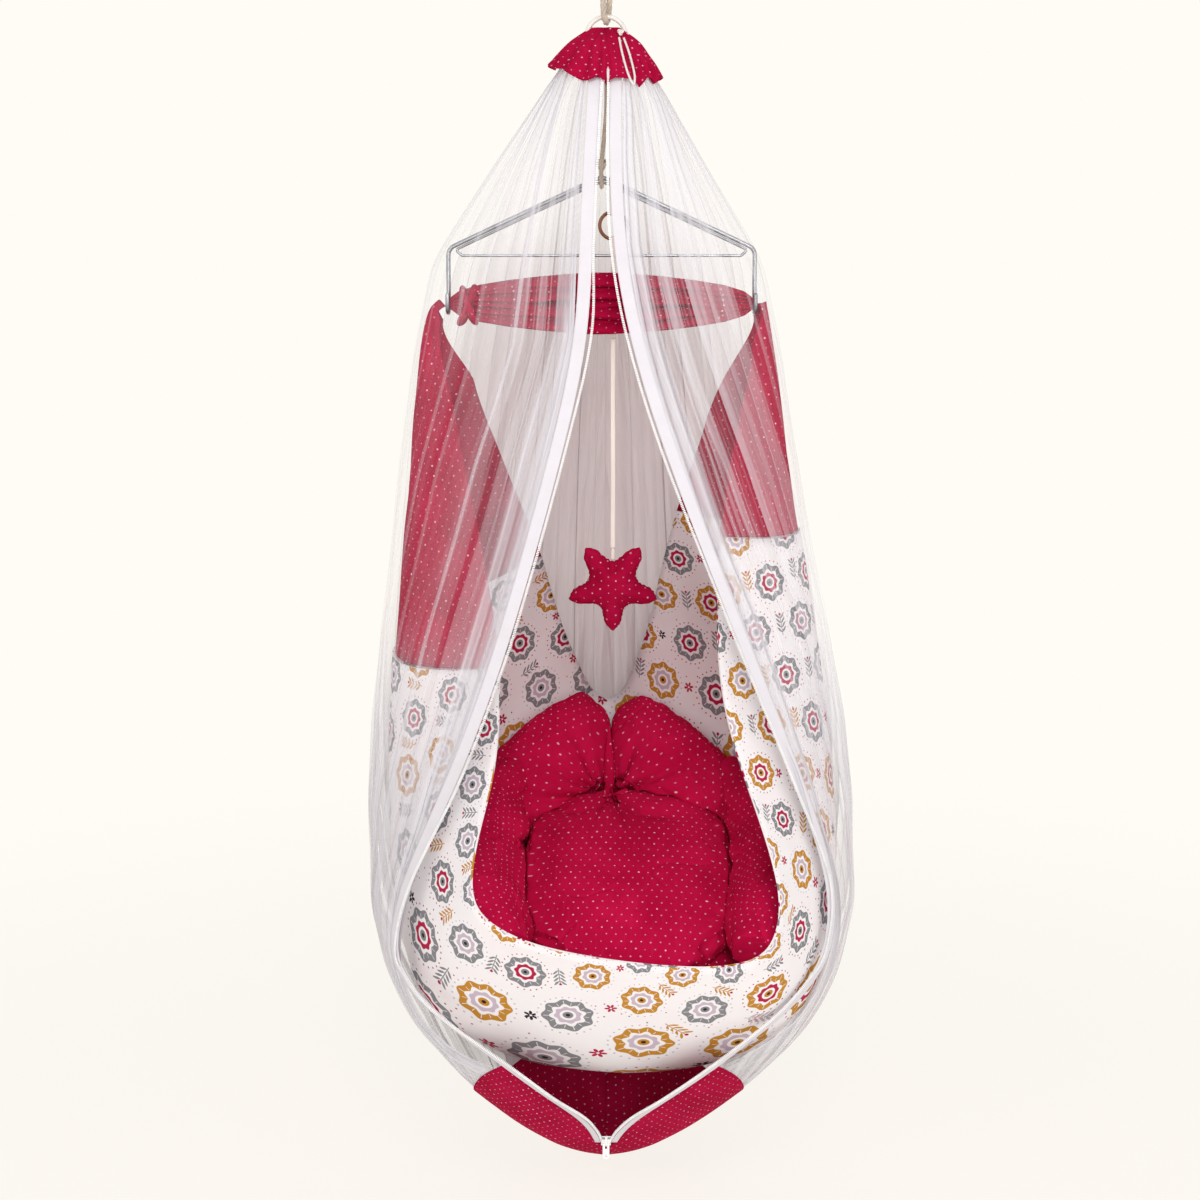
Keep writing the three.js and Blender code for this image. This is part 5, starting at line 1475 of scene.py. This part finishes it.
def tapes(material):
    """The zip's white tapes along both edges of the doorway."""
    for side in SIDES:
        node = side + "_zip_tape"
        tape = subdivide(copy_of(node, node + "_woven", material), CLOTH_LEVELS)
        places = coordinates(tape.data)
        out = away_from(places, (0, 0, 0), flat=True)
        places = places + out * (wave(places, (10, 10, 5), 8) * TAPE_RIPPLE)[:, None]
        hang(tape, places, "white_tape", node, "hung", side + "_net_panel_pleated")


def bases(material):
    """The crimson foot of the net: a rumpled cone of two halves, seamed at the rear."""
    for side, sign in SIDES.items():
        node = side + "_net_base"
        base = cloth_copy(node, node + "_cloth", material)
        places = coordinates(base.data)
        low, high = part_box(node)
        drop = (high.z - places[:, 2]) / (high.z - low.z)
        soft = wave(places, (11, 11, 7), 9)
        soft = soft * np.clip(drop * 4, 0.2, 1) * np.clip((1 - drop) * 5, 0, 1)
        out = away_from(places, (0, 0, low.z + BASE_MIDDLE_RISE))
        places += out * (soft * BASE_RUMPLE)[:, None]
        at_seam = (np.abs(places[:, 0]) < BASE_SEAM_REACH) & (places[:, 1] > 0)
        places[at_seam, 0] -= sign * BASE_SEAM_ROOM
        hang(base, places, "crimson_cloth", node, "hung", side + "_net_panel_pleated")


# Net


def clusters(node):
    """A CAD node's points in groups by height, from the top down."""
    places = coordinates(frame["nodes"][node].data)
    places = places[np.argsort(-places[:, 2])]
    cuts = np.where(-np.diff(places[:, 2]) > CLUSTER_GAP)[0] + 1
    return np.split(places, cuts)


def tape_edge(side):
    """Heights down the doorway with the bearings of the tape's outer edge."""
    heights, outer = [], []
    sign = SIDES[side]
    for group in clusters(side + "_zip_tape"):
        angles = np.arctan2(sign * group[:, 0], -group[:, 1])
        heights.append(group[:, 2].mean())
        outer.append(angles.max())
    return np.array(heights)[::-1], np.array(outer)[::-1]


def lower_edge(side):
    """Bearings round one half of the net with the height of its lower seam, from the doorway back."""
    places = coordinates(frame["nodes"][side + "_net_panel"].data)
    sign = SIDES[side]
    places = places[places[:, 2] < places[:, 2].min() + NET_SEAM_RISE]
    angles = np.abs(np.arctan2(sign * places[:, 0], -places[:, 1]))
    line = []
    for corner in sorted(zip(angles, places[:, 2])):
        while len(line) > 1 and turns_down(line[-2], line[-1], corner):
            line.pop()
        line.append(corner)
    return np.array(line).T


def turns_down(first, second, third):
    """Whether the middle one of three places lies on or above the line through the others."""
    ahead = (second[0] - first[0]) * (third[1] - first[1])
    return ahead <= (second[1] - first[1]) * (third[0] - first[0])


def doorway_corner(seam, tape):
    """The height at which the doorway's edge meets the lower seam."""
    z = seam[1][0]
    for _ in range(20):
        z = 0.5 * z + 0.5 * np.interp(np.interp(z, *tape), *seam)
    return z


def net_outline(side, heights, angles):
    """How far the CAD net stands from its axis at each height and bearing."""
    sign = SIDES[side]
    points, faces, start = [], [], 0
    for node in (side + "_net_panel", side + "_net_base", side + "_zip_tape"):
        mesh = frame["nodes"][node].data
        points += [vertex.co for vertex in mesh.vertices]
        faces += [tuple(start + corner for corner in face.vertices) for face in mesh.polygons]
        start = len(points)
    tree = BVHTree.FromPolygons(points, faces)
    found = np.full((len(heights), len(angles)), np.nan)
    for i, z in enumerate(heights):
        for j, angle in enumerate(angles):
            ray = Vector((sign * math.sin(angle), -math.cos(angle), 0))
            place, _, _, far = tree.ray_cast(Vector((sign * NET_PROBE_ASIDE, 0, z)), ray)
            if place is not None:
                found[i, j] = far
    for row in found:
        good = ~np.isnan(row)
        if good.any():
            row[:] = np.interp(angles, angles[good], row[good])
    for j in range(len(angles)):
        good = ~np.isnan(found[:, j])
        found[:, j] = np.interp(heights, heights[good], found[good, j])
    return blur(blur(found, 10).T, 2).T


def net_panel(side, material):
    """One half of the net, gathered at the collar into folds that open and close on the way down."""
    columns = NET_PLEATS * NET_COLUMNS_PER_PLEAT
    across = np.linspace(0, 1, columns + 1)
    seed = NET_SEEDS[side]
    strength, phase = pleats(across, np.random.default_rng(seed))
    grid, folds = net_grid(side, across, strength, phase)
    cover, shade = net_weight(grid, across, folds, seed, NET_BANDS_REACH[side])
    piece = grid_piece(side + "_net_panel_pleated", grid, material, turned=side == "left")
    for name, values in (("net_shade", shade), ("net_cover", cover)):
        attribute = piece.data.attributes.new(name, "FLOAT", "POINT")
        attribute.data.foreach_set("value", values.ravel().astype(np.float32))
    stand_for(piece, "net_cloth", side + "_net_panel")
    declare_sheet(piece)


def pleats(across, random):
    """How strong each pleat is and how far its wave has turned, at places across the net."""
    knots = np.linspace(0, 1, NET_PLEATS * 2 + 1)
    strength = np.interp(across, knots, random.uniform(0.35, 1.25, len(knots)))
    width = 0.35 * np.interp(across, knots, random.uniform(-1, 1, len(knots)))
    return strength, 2 * math.pi * (NET_PLEATS * across + width)


def shared_outline(side, heights, turns):
    """One half's outline, which meets the other half's at the rear seam."""
    outline = net_outline(side, heights, turns)
    other = net_outline("right" if side == "left" else "left", heights, turns)
    shared = 0.5 * smooth_step(turns, math.radians(NET_SHARED_FROM), math.pi)
    return outline * (1 - shared) + other[:, -1:] * shared


def net_grid(side, across, strength, phase):
    """The pleated half net as rows of points from the collar down, and how folded it is there."""
    low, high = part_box(side + "_net_panel")
    seam, tape = lower_edge(side), tape_edge(side)
    level = np.linspace(high.z, low.z, NET_ROWS)[::-1]
    turns = np.linspace(0, math.pi, NET_TURNS)
    outline = shared_outline(side, level, turns)
    first_fall = doorway_corner(seam, tape) - high.z
    grid = np.zeros((NET_ROWS, len(across), 3))
    folds = np.zeros((NET_ROWS, len(across)))
    aside = NET_ASIDE * (1 - across**8) - NET_ASIDE_REAR * across**8
    for i in range(NET_ROWS):
        share = i / (NET_ROWS - 1)
        spread = math.sin(math.pi * share) ** 0.8
        amount = strength * (1.75 - 0.95 * spread) + 0.2 * np.exp(-((across / 0.05) ** 2))
        slid = across + np.clip(amount, 0, 2.2) * np.sin(phase) / (2 * math.pi * NET_PLEATS)
        start = np.interp(high.z + first_fall * share, *tape)
        angle = start + (math.pi - start) * np.clip(slid, 0, 1)
        z = high.z + (np.interp(angle, *seam) - NET_LAP - high.z) * share
        far = sample(outline, level, turns, z, angle)
        ends = min(1, share * 12 + 0.3, (1 - share) * 14)
        depth = NET_FOLD_DEPTH * ends * strength * (1 - smooth_step(across, 0.95, 1))
        out = far - depth * (0.5 - 0.5 * np.cos(phase)) * min(1, 0.4 + spread)
        away = SIDES[side] * (out * np.sin(angle) + aside)
        grid[i] = np.stack([away, -out * np.cos(angle), z], axis=1)
        folds[i] = np.abs(np.cos(phase)) ** 6 * strength
    return grid, folds


def smooth_step(values, low, high):
    """0 under low and 1 over high, with a smooth step between them."""
    share = np.clip((values - low) / (high - low), 0, 1)
    return share * share * (3 - 2 * share)


def hump(values, middle, reach_out):
    """1 at a middle value, falling off softly on both sides."""
    return np.exp(-(((values - middle) / reach_out) ** 2))


def net_weight(grid, across, folds, seed, bands_reach):
    """How much the net covers, in bands of folded layers, and how much painted shade it gets."""
    rows, columns = grid.shape[:2]
    adds = NET_COVER_SHARES
    share = np.linspace(0, 1, rows)[:, None] * np.ones((1, columns))
    column = np.ones((rows, 1)) * across[None, :]
    spots = np.stack([column, share, np.zeros_like(share)], axis=2).reshape(-1, 3)
    broad, narrow, thread = (
        wave(spots, scale, seed + k).reshape(rows, columns)
        for k, scale in enumerate(((30, 0.9, 1), (84, 1.6, 1), (230, 3, 1)))
    )
    bands = smooth_step(broad, 0.02, 0.1) * adds["broad_bands"]
    bands += smooth_step(narrow, 0.08, 0.18) * adds["narrow_bands"]
    bands += smooth_step(thread, 0.12, 0.35) * adds["threads"]
    bands += hump(broad, 0.06, 0.02) * adds["broad_lines"]
    bands += hump(narrow, 0.11, 0.03) * adds["narrow_lines"]
    steps = np.linalg.norm(np.diff(grid, axis=1), axis=2)
    from_door = np.concatenate([np.zeros((rows, 1)), np.cumsum(steps, axis=1)], axis=1)
    neck = np.exp(-share / 0.1)
    low_down = smooth_step(-grid[:, :, 2], *NET_LOW_DOWN)
    seen = 0.04 + 0.96 * hump(from_door, 0, bands_reach) + neck * 0.5 + low_down * 0.5
    cover = adds["single"] + bands * np.clip(seen, 0, 1) + folds * adds["folds"]
    cover += hump(from_door, 0, DOOR_BAND) * adds["door"]
    cover += hump(from_door, 0, 5 * DOOR_BAND) * adds["beside_door"]
    cover += neck * adds["neck"] + smooth_step(share, 0.92, 1) * adds["foot"]
    cover += low_down * adds["low_down"]
    cover *= 1 - 0.9 * smooth_step(share, 0.95, 1) * hump(from_door, 0, 2 * DOOR_BAND)
    # The rear half gets more cover and a painted shade, greyest below the swag
    rear = smooth_step(grid[:, :, 1], *NET_REAR)
    below = smooth_step(-grid[:, :, 2], *NET_BELOW_SWAG)
    cover += rear * (adds["rear"] + adds["rear_below"] * below)
    return np.clip(cover, 0, adds["most"]), rear * (0.22 + 0.78 * below)


def sample(table, rows, columns, row, column):
    """A table read between its rows and columns."""
    i = np.clip(np.interp(row, rows, np.arange(len(rows))), 0, len(rows) - 1.001)
    j = np.clip(np.interp(column, columns, np.arange(len(columns))), 0, len(columns) - 1.001)
    i0, j0 = i.astype(int), j.astype(int)
    a, b = i - i0, j - j0
    above = table[i0, j0] * (1 - b) + table[i0, j0 + 1] * b
    below = table[i0 + 1, j0] * (1 - b) + table[i0 + 1, j0 + 1] * b
    return above * (1 - a) + below * a


# Zip


def teeth(material):
    """The zip's two rows of small teeth along the doorway."""
    for side in SIDES:
        node = side + "_zip_teeth"
        middles = np.array([group.mean(axis=0) for group in clusters(node)])
        line = smooth_line(middles, max(2, int(line_length(middles) / TOOTH_PITCH)))
        ahead, _, _ = carried_frames(line)
        out = away_from(line, (0, 0, 0), flat=True)
        across = np.cross(out, ahead)
        across /= np.linalg.norm(across, axis=1)[:, None]
        out = np.cross(ahead, across)
        places, faces = [], []
        for k, middle in enumerate(line):
            start = len(places)
            for a, b, c in itertools.product((-1, 1), repeat=3):
                taper = TOOTH_TAPER if b * c > 0 else 1
                along = ahead[k] * a * TOOTH_LENGTH / 2 * taper
                aside = across[k] * b * TOOTH_HALF_WIDTH
                places.append(middle + along + aside + out[k] * c * TOOTH_HALF_HEIGHT)
            faces += [tuple(start + corner for corner in face) for face in TOOTH_FACES]
        row = new_piece(node + "_row", places, faces, material)
        row.data.polygons.foreach_set("use_smooth", [False] * len(row.data.polygons))
        stand_for(row, "white_plastic", node)


# Cushions


def puff(piece, pressure):
    """Lets the skin of a stuffed piece swell and buckle, then keeps each point within the cap."""
    before = coordinates(piece.data)
    modifier = modify(piece, "CLOTH")
    for name, value in SKIN.items():
        setattr(modifier.settings, name, value)
    modifier.settings.uniform_pressure_force = pressure
    modifier.settings.effector_weights.gravity = 0
    modifier.collision_settings.use_collision = False
    modifier.point_cache.frame_end = PUFF_FRAMES
    for step in range(1, PUFF_FRAMES + 1):
        bpy.context.scene.frame_set(step)
    settle(piece)
    bpy.context.scene.frame_set(1)
    after = coordinates(piece.data)
    moved = after - before
    far = np.maximum(np.linalg.norm(moved, axis=1), 1e-9)
    put(piece.data, before + moved * np.minimum(1, PUFF_CAP / far)[:, None])


def keep_near(piece, node, most_out):
    """Brings back what stands further out of the CAD solid than it may."""
    tree = tree_of(frame["nodes"][node].data)
    places = coordinates(piece.data)
    for k, place in enumerate(places):
        near, normal, _, far = tree.find_nearest(Vector(place))
        if near is not None and (Vector(place) - near).dot(normal) > 0 and far > most_out:
            places[k] = near + (Vector(place) - near) * (most_out / far)
    put(piece.data, places)


def hold_inside(piece, tree, middle, room):
    """Keeps a stuffed piece on the inner side of the cloth that holds it."""
    places = coordinates(piece.data)
    middle = Vector(middle)
    for k, place in enumerate(places):
        ray = Vector(place) - middle
        far = ray.length
        hit, _, _, reached = tree.ray_cast(middle, ray)
        if hit is not None and reached < far + room:
            places[k] = middle + ray * ((reached - room) / far)
    put(piece.data, places)


def thin_direction(places):
    """The direction in which a shape is thinnest."""
    spread = np.cov((places - places.mean(axis=0)).T)
    return np.linalg.eigh(spread)[1][:, 0]


def creased(places, scale, seed):
    """Thin crease lines that wander over a stuffed piece, 0 to 1, deep in some places only."""
    lines = np.exp(-((wave(places, scale, seed) / 0.045) ** 2))
    return lines * np.clip(wave(places, scale * 0.6, seed + 7) * 4 + 0.2, 0, 1)


def cushion(
    node, name, material, wrinkles, grow, voxel=VOXEL, slack=CUSHION_SLACK, pressure=CUSHION_PRESSURE
):
    """A stuffed piece: the CAD solid's form, puffed up as a sewn skin, with creases and a seam."""
    piece = copy_of(node, name, material)
    modify(piece, "REMESH", mode="VOXEL", voxel_size=voxel)
    settle(piece)
    modify(piece, "SMOOTH", iterations=3, factor=0.5)
    settle(piece)
    put(piece.data, coordinates(piece.data) + normals(piece.data) * grow)
    puff(piece, pressure)
    places = coordinates(piece.data)
    middle = (places.min(axis=0) + places.max(axis=0)) / 2
    direction = thin_direction(places)

    def is_seam(edge):
        middles = [np.array(face.calc_center_median()) for face in edge.link_faces]
        sides = [(place - middle) @ direction > 0 for place in middles]
        return sides[0] != sides[1]

    lay_flat(piece, is_seam)
    subdivide(piece, 1)
    places = coordinates(piece.data)
    depth = wrinkles(places)
    groove = hump((places - middle) @ direction, 0, SEAM_GROOVE_WIDTH) * SEAM_GROOVE_DEPTH
    places = places + normals(piece.data) * (depth - groove)[:, None]
    put(piece.data, places)
    keep_near(piece, node, slack)
    return piece


def finish_cushion(piece, node):
    """The stuffed piece takes its CAD solid's place."""
    stand_for(piece, "crimson_cloth", node)


def gathered(places, tuft, reach_out):
    """Places near a tuft drawn in to it, more the nearer they are."""
    away = places - tuft
    far = np.linalg.norm(away, axis=1)
    share = np.minimum(far / reach_out, 1)
    return tuft + away * (share**0.85)[:, None]


def crease_out(piece, tuft, creases):
    """Presses creases into a piece that run out of the tuft and fade."""
    places = coordinates(piece.data)
    away = places - tuft
    far = np.linalg.norm(away, axis=1)
    turn = np.degrees(np.arctan2(away[:, 2], away[:, 0]))
    depth = np.zeros(len(places))
    for angle, long in creases:
        bend = angle + 6 * np.sin(far / CREASE_WANDER + angle)
        off = np.radians((turn - bend + 180) % 360 - 180) * far
        depth += hump(off, 0, CREASE_WIDTH + far * 0.04) * hump(far, 0, long)
    depth = np.minimum(depth, 1.3) * CREASE_DEPTH
    put(piece.data, places - normals(piece.data) * depth[:, None])


def spread_out(piece, values, times):
    """Evens out a value on each point with those of its neighbours."""
    mesh = piece.data
    ends = np.zeros(len(mesh.edges) * 2, np.int32)
    mesh.edges.foreach_get("vertices", ends)
    ends = ends.reshape(-1, 2)
    count = np.zeros(len(values))
    for a, b in ((0, 1), (1, 0)):
        np.add.at(count, ends[:, a], 1)
    for _ in range(times):
        total = np.zeros_like(values)
        for a, b in ((0, 1), (1, 0)):
            np.add.at(total, ends[:, a], values[ends[:, b]])
        values = 0.5 * values + 0.5 * total / np.maximum(count, 1)[:, None]
    return values


def tree_of(mesh):
    """A mesh's faces, ready to be searched by rays and for their nearest places."""
    faces = [tuple(face.vertices) for face in mesh.polygons]
    return BVHTree.FromPolygons([vertex.co for vertex in mesh.vertices], faces)


def press_together(pieces):
    """Lets stuffed neighbours swell until they meet half way, where the gap between them is small."""
    trees = [tree_of(piece.data) for piece in pieces]
    moves = []
    for own, piece in enumerate(pieces):
        others = trees[:own] + trees[own + 1 :]
        facing = normals(piece.data)
        move = np.zeros((len(facing), 3))
        for k, place in enumerate(coordinates(piece.data)):
            move[k] = move_to_meet(place, facing[k], others)
        moves.append(spread_out(piece, move, 3))
    for piece, move in zip(pieces, moves):
        put(piece.data, coordinates(piece.data) + move)


def move_to_meet(place, facing, others):
    """Half the way from a place to the nearest of the others, less the further off that is."""
    found = [tree.find_nearest(Vector(place), MEETING_REACH) for tree in others]
    found = [(far, np.array(hit)) for hit, _, _, far in found if hit is not None]
    if not found:
        return 0
    far, nearest = min(found, key=lambda pair: pair[0])
    far = max(far, 1e-6)
    toward = (nearest - place) / far
    if toward @ facing < 0.2:
        return 0
    share = 1 - max(0.0, (far / MEETING_REACH - 0.6) / 0.4)
    open_above = min(1.0, max(0.0, (place[2] - SLIT_LOW) / (SLIT_HIGH - SLIT_LOW)))
    return toward * (far / 2 - MEETING_GAP) * share * (1 - 0.8 * open_above)


def rumples(seed):
    """The rise of a stuffed piece's soft bulges and thin creases, by its own seed."""

    def depth(places):
        soft = wave(places, (7, 6, 7), seed) * RUMPLE_BROAD
        soft += wave(places, (19, 15, 19), seed + 50) * RUMPLE_FINE
        return soft - creased(places, 13, seed + 90) * RUMPLE_CREASE

    return depth


def cushions(material):
    """The nest's stuffed pieces: two pillows, two bolsters, the mattress and what fills the belly."""
    sling_tree = tree_of(bpy.data.objects["sling_cloth"].data)
    pad_x, pad_y, _ = middle_of("mattress_pad")
    pad_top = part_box("mattress_pad")[1].z
    nest = (pad_x, pad_y, pad_top)
    tuft = np.array([TUFT_X, TUFT_Y, pad_top - TUFT_DROP])
    pieces = []
    for seed, node in enumerate(CUSHION_FILL_SHARES, 21):
        piece = cushion(node, node + "_stuffed", material, rumples(seed), CUSHION_GROWTH)
        put(piece.data, gathered(coordinates(piece.data), tuft, TUFT_REACH))
        pieces.append(piece)
    press_together(pieces)
    for piece, (node, fill) in zip(pieces, CUSHION_FILL_SHARES.items()):
        crease_out(piece, tuft, TUFT_CREASES[node])
        put(piece.data, gathered(coordinates(piece.data), tuft, TUFT_REACH / 4))
        hold_inside(piece, sling_tree, nest, SLING_ROOM)
        finish_cushion(piece, node)
    base = cushion(
        "nest_base_cushion",
        "nest_base_stuffed",
        material,
        lambda places: wave(places, 8, 51) * BASE_CUSHION_RUMPLE,
        grow=-BASE_CUSHION_INSET,
        voxel=2 * VOXEL,
        slack=BASE_CUSHION_SLACK,
        pressure=0.5,
    )
    hold_inside(base, sling_tree, nest, BASE_CUSHION_ROOM)
    finish_cushion(base, "nest_base_cushion")
    tuft_gusset(tuft, material)


def tuft_gusset(tuft, material):
    """The sewn strip that joins the two pillows from the tuft up to where their slit opens."""
    steps = np.linspace(0, 1, GUSSET_STEPS)
    foot = tuft + np.array([0, GUSSET_INSET, -GUSSET_INSET])
    head = np.array([tuft[0], middle_of("left_back_pillow")[1], SLIT_LOW + GUSSET_SPARE])
    line = foot + (head - foot) * steps[:, None]
    across = np.tile([1.0, 0, 0], (GUSSET_STEPS, 1))
    out = np.cross(carried_frames(line)[0], across)
    size = (1 - steps * 0.75) * np.sin(math.pi * np.clip(steps, 0.02, 0.98)) ** 0.4
    size = size * GUSSET_HALF_WIDTH
    grid = fold_grid(line, across, out, size, size * 0.6, GUSSET_AROUND)
    ride_with(grid_piece("pillow_gusset", grid, material), "left_back_pillow")


def star(material):
    """The stuffed star: plump points, a sewn rim and puckers in the notches."""
    x, rim_y, z = middle_of("star_toy")

    def details(places):
        dx, dz = places[:, 0] - x, places[:, 2] - (z - STAR_MIDDLE_DROP)
        turn, far = np.arctan2(dx, -dz), np.hypot(dx, dz)
        notch = (1 - np.cos(5 * turn)) / 2
        from_rim = np.abs(places[:, 1] - rim_y)
        pucker = np.sin(turn * STAR_PUCKERS + 3 * wave(places, 30, 61))
        pucker = pucker * np.exp(-from_rim / STAR_RIM_REACH)
        creases = hump(notch, 1, 0.1) * np.exp(-np.abs(far - STAR_NOTCH) / STAR_NOTCH_REACH)
        rise = pucker * STAR_PUCKER * (0.4 + notch) - creases * STAR_CREASE
        return rise + wave(places, 40, 62) * STAR_RUMPLE

    piece = cushion(
        "star_toy",
        "star_stuffed",
        material,
        details,
        grow=-STAR_INSET,
        voxel=STAR_VOXEL,
        slack=STAR_SLACK,
        pressure=STAR_PRESSURE,
    )
    finish_cushion(piece, "star_toy")


# Metal and plastic, whose CAD shapes stay


def finish_hardware():
    """Smooth rods and rings, and bevelled plates, on the CAD nodes themselves."""
    steel = metal("brushed_steel", STEEL, STEEL_WORN, roughness=0.28, streak_scale=260)
    bronze = metal("worn_bronze", BRONZE, BRONZE_WORN, roughness=0.36, streak_scale=300)
    resin = plastic("ring_resin", RESIN, RESIN_SHADED, roughness=0.45)
    white = plastic("white_plastic", PLASTIC_WHITE, PLASTIC_SHADED, roughness=0.35)
    materials = {
        "ceiling_hook": steel,
        "hanger_bow": steel,
        "hanger_brace": steel,
        "toy_ring": bronze,
        "suspension_ring": resin,
        "ceiling_plate": steel,
        "plate_screw_left": steel,
        "plate_screw_right": steel,
        "zip_slider": white,
        "zip_pull_tab": white,
    }
    rounding = {"levels": 2, "render_levels": 2}
    bevel = {"width": EDGE_BEVEL, "segments": 3, "limit_method": "ANGLE"}
    for node, material in materials.items():
        piece = frame["nodes"][node]
        piece.data.materials[0] = material
        modify(piece, "WELD", merge_threshold=WELD)
        if node in ROUND_NODES:
            modify(piece, "SUBSURF", **rounding)
        else:
            modify(piece, "BEVEL", angle_limit=math.radians(EDGE_ANGLE), **bevel)


# Surroundings


def add_stage():
    """A pale floor that keeps a soft shadow and fades into the backdrop's warm white."""
    disc = bpy.data.meshes.new("floor")
    ring = [
        (FLOOR_RADIUS * math.cos(a), FLOOR_RADIUS * math.sin(a), FLOOR_Z)
        for a in np.linspace(0, 2 * math.pi, FLOOR_STEPS, endpoint=False)
    ]
    disc.from_pydata(ring, [], [tuple(range(FLOOR_STEPS))])
    floor = bpy.data.objects.new("floor", disc)
    bpy.context.scene.collection.objects.link(floor)
    disc.materials.append(floor_finish())


def floor_finish():
    """Pale floor near the object and plain background further off."""
    finish = Finish("pale_floor", 0.95)
    finish.set("Base Color", FLOOR_COLOUR)
    x, y = finish.axes(finish.object_place(), 2)
    fade = reach(x, y).step(FLOOR_FADE_FROM, FLOOR_FADE_TO) * (1 - FLOOR_GLOW) + FLOOR_GLOW
    glow = finish.node("Emission", Color=BACKGROUND)
    blend = finish.tree.nodes.new("ShaderNodeMixShader")
    join(finish.tree, fade, blend.inputs[0])
    finish.tree.links.new(finish.shader.outputs[0], blend.inputs[1])
    finish.tree.links.new(glow.outputs[0], blend.inputs[2])
    finish.tree.links.new(blend.outputs[0], finish.tree.nodes["Material Output"].inputs[0])
    return finish.material


def add_world():
    """Even light from all round, and the warm white background for the camera and reflections."""
    world = bpy.data.worlds.new("studio")
    bpy.context.scene.world = world
    world.use_nodes = True
    tree = world.node_tree
    light = tree.nodes["Background"]
    light.inputs[0].default_value = (1, 1, 1, 1)
    light.inputs[1].default_value = WORLD_LIGHT
    shown = tree.nodes.new("ShaderNodeBackground")
    shown.inputs[0].default_value = BACKGROUND
    path = tree.nodes.new("ShaderNodeLightPath")
    seen = Number(tree, path.outputs["Is Camera Ray"])
    seen = seen.most(Number(tree, path.outputs["Is Glossy Ray"]))
    seen = seen.most(Number(tree, path.outputs["Is Transmission Ray"]))
    blend = tree.nodes.new("ShaderNodeMixShader")
    join(tree, seen, blend.inputs[0])
    tree.links.new(light.outputs[0], blend.inputs[1])
    tree.links.new(shown.outputs[0], blend.inputs[2])
    tree.links.new(blend.outputs[0], tree.nodes["World Output"].inputs[0])


def add_lamp(name, place, aim, size, power):
    """A soft square lamp that looks at a point."""
    data = bpy.data.lights.new(name, "AREA")
    data.size = size
    data.energy = power
    lamp = bpy.data.objects.new(name, data)
    lamp.location = place
    lamp.rotation_euler = (Vector(aim) - Vector(place)).to_track_quat("-Z", "Y").to_euler()
    bpy.context.scene.collection.objects.link(lamp)


def add_light():
    """The lamps, all aimed at the cradle's axis."""
    for name, (place, aim_z, size, power) in LAMPS.items():
        add_lamp(name, place, (0, 0, aim_z), size, power)


def main():
    """Builds every look round the frame, then the surroundings."""
    scene = bpy.context.scene
    scene.view_settings.view_transform = "Standard"
    scene.cycles.transparent_max_bounces = 32
    add_camera()
    rope = rope_fibre()
    upper_rope(rope)
    lower_rope(rope)
    drawstring(white_cord())
    ribbons(ribbon_cloth())
    # The outer cloth's crimson is darkened as painted shade, and the cushions' is lightened as painted
    # light
    crimson = crimson_cloth("crimson_dotted_cloth", CLOTH_PAINTED_SHADE)
    stuffed = crimson_cloth("crimson_cushion_cloth_painted_lighter", CUSHION_PAINTED_LIGHT)
    side_panels(crimson)
    sling(printed_cloth())
    swag(crimson)
    collar(crimson)
    cushions(stuffed)
    star(crimson)
    net = net_cloth()
    for side in SIDES:
        net_panel(side, net)
    bases(crimson)
    tapes(tape_cloth())
    teeth(plastic("zip_teeth", PLASTIC_WHITE, TEETH_SHADED, roughness=0.4))
    finish_hardware()
    add_stage()
    add_world()
    add_light()


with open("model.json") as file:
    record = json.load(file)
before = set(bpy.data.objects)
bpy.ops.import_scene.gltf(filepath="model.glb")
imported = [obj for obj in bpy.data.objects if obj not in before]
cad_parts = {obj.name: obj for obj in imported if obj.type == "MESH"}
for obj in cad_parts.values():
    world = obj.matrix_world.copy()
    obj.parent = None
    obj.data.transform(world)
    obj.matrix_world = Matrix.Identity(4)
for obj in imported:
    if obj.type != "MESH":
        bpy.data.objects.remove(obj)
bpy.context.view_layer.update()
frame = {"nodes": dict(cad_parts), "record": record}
body_by_node = {
    node: body
    for body, members in frame["record"]["behaviour"]["bodies"].items()
    for node in members
}
main()
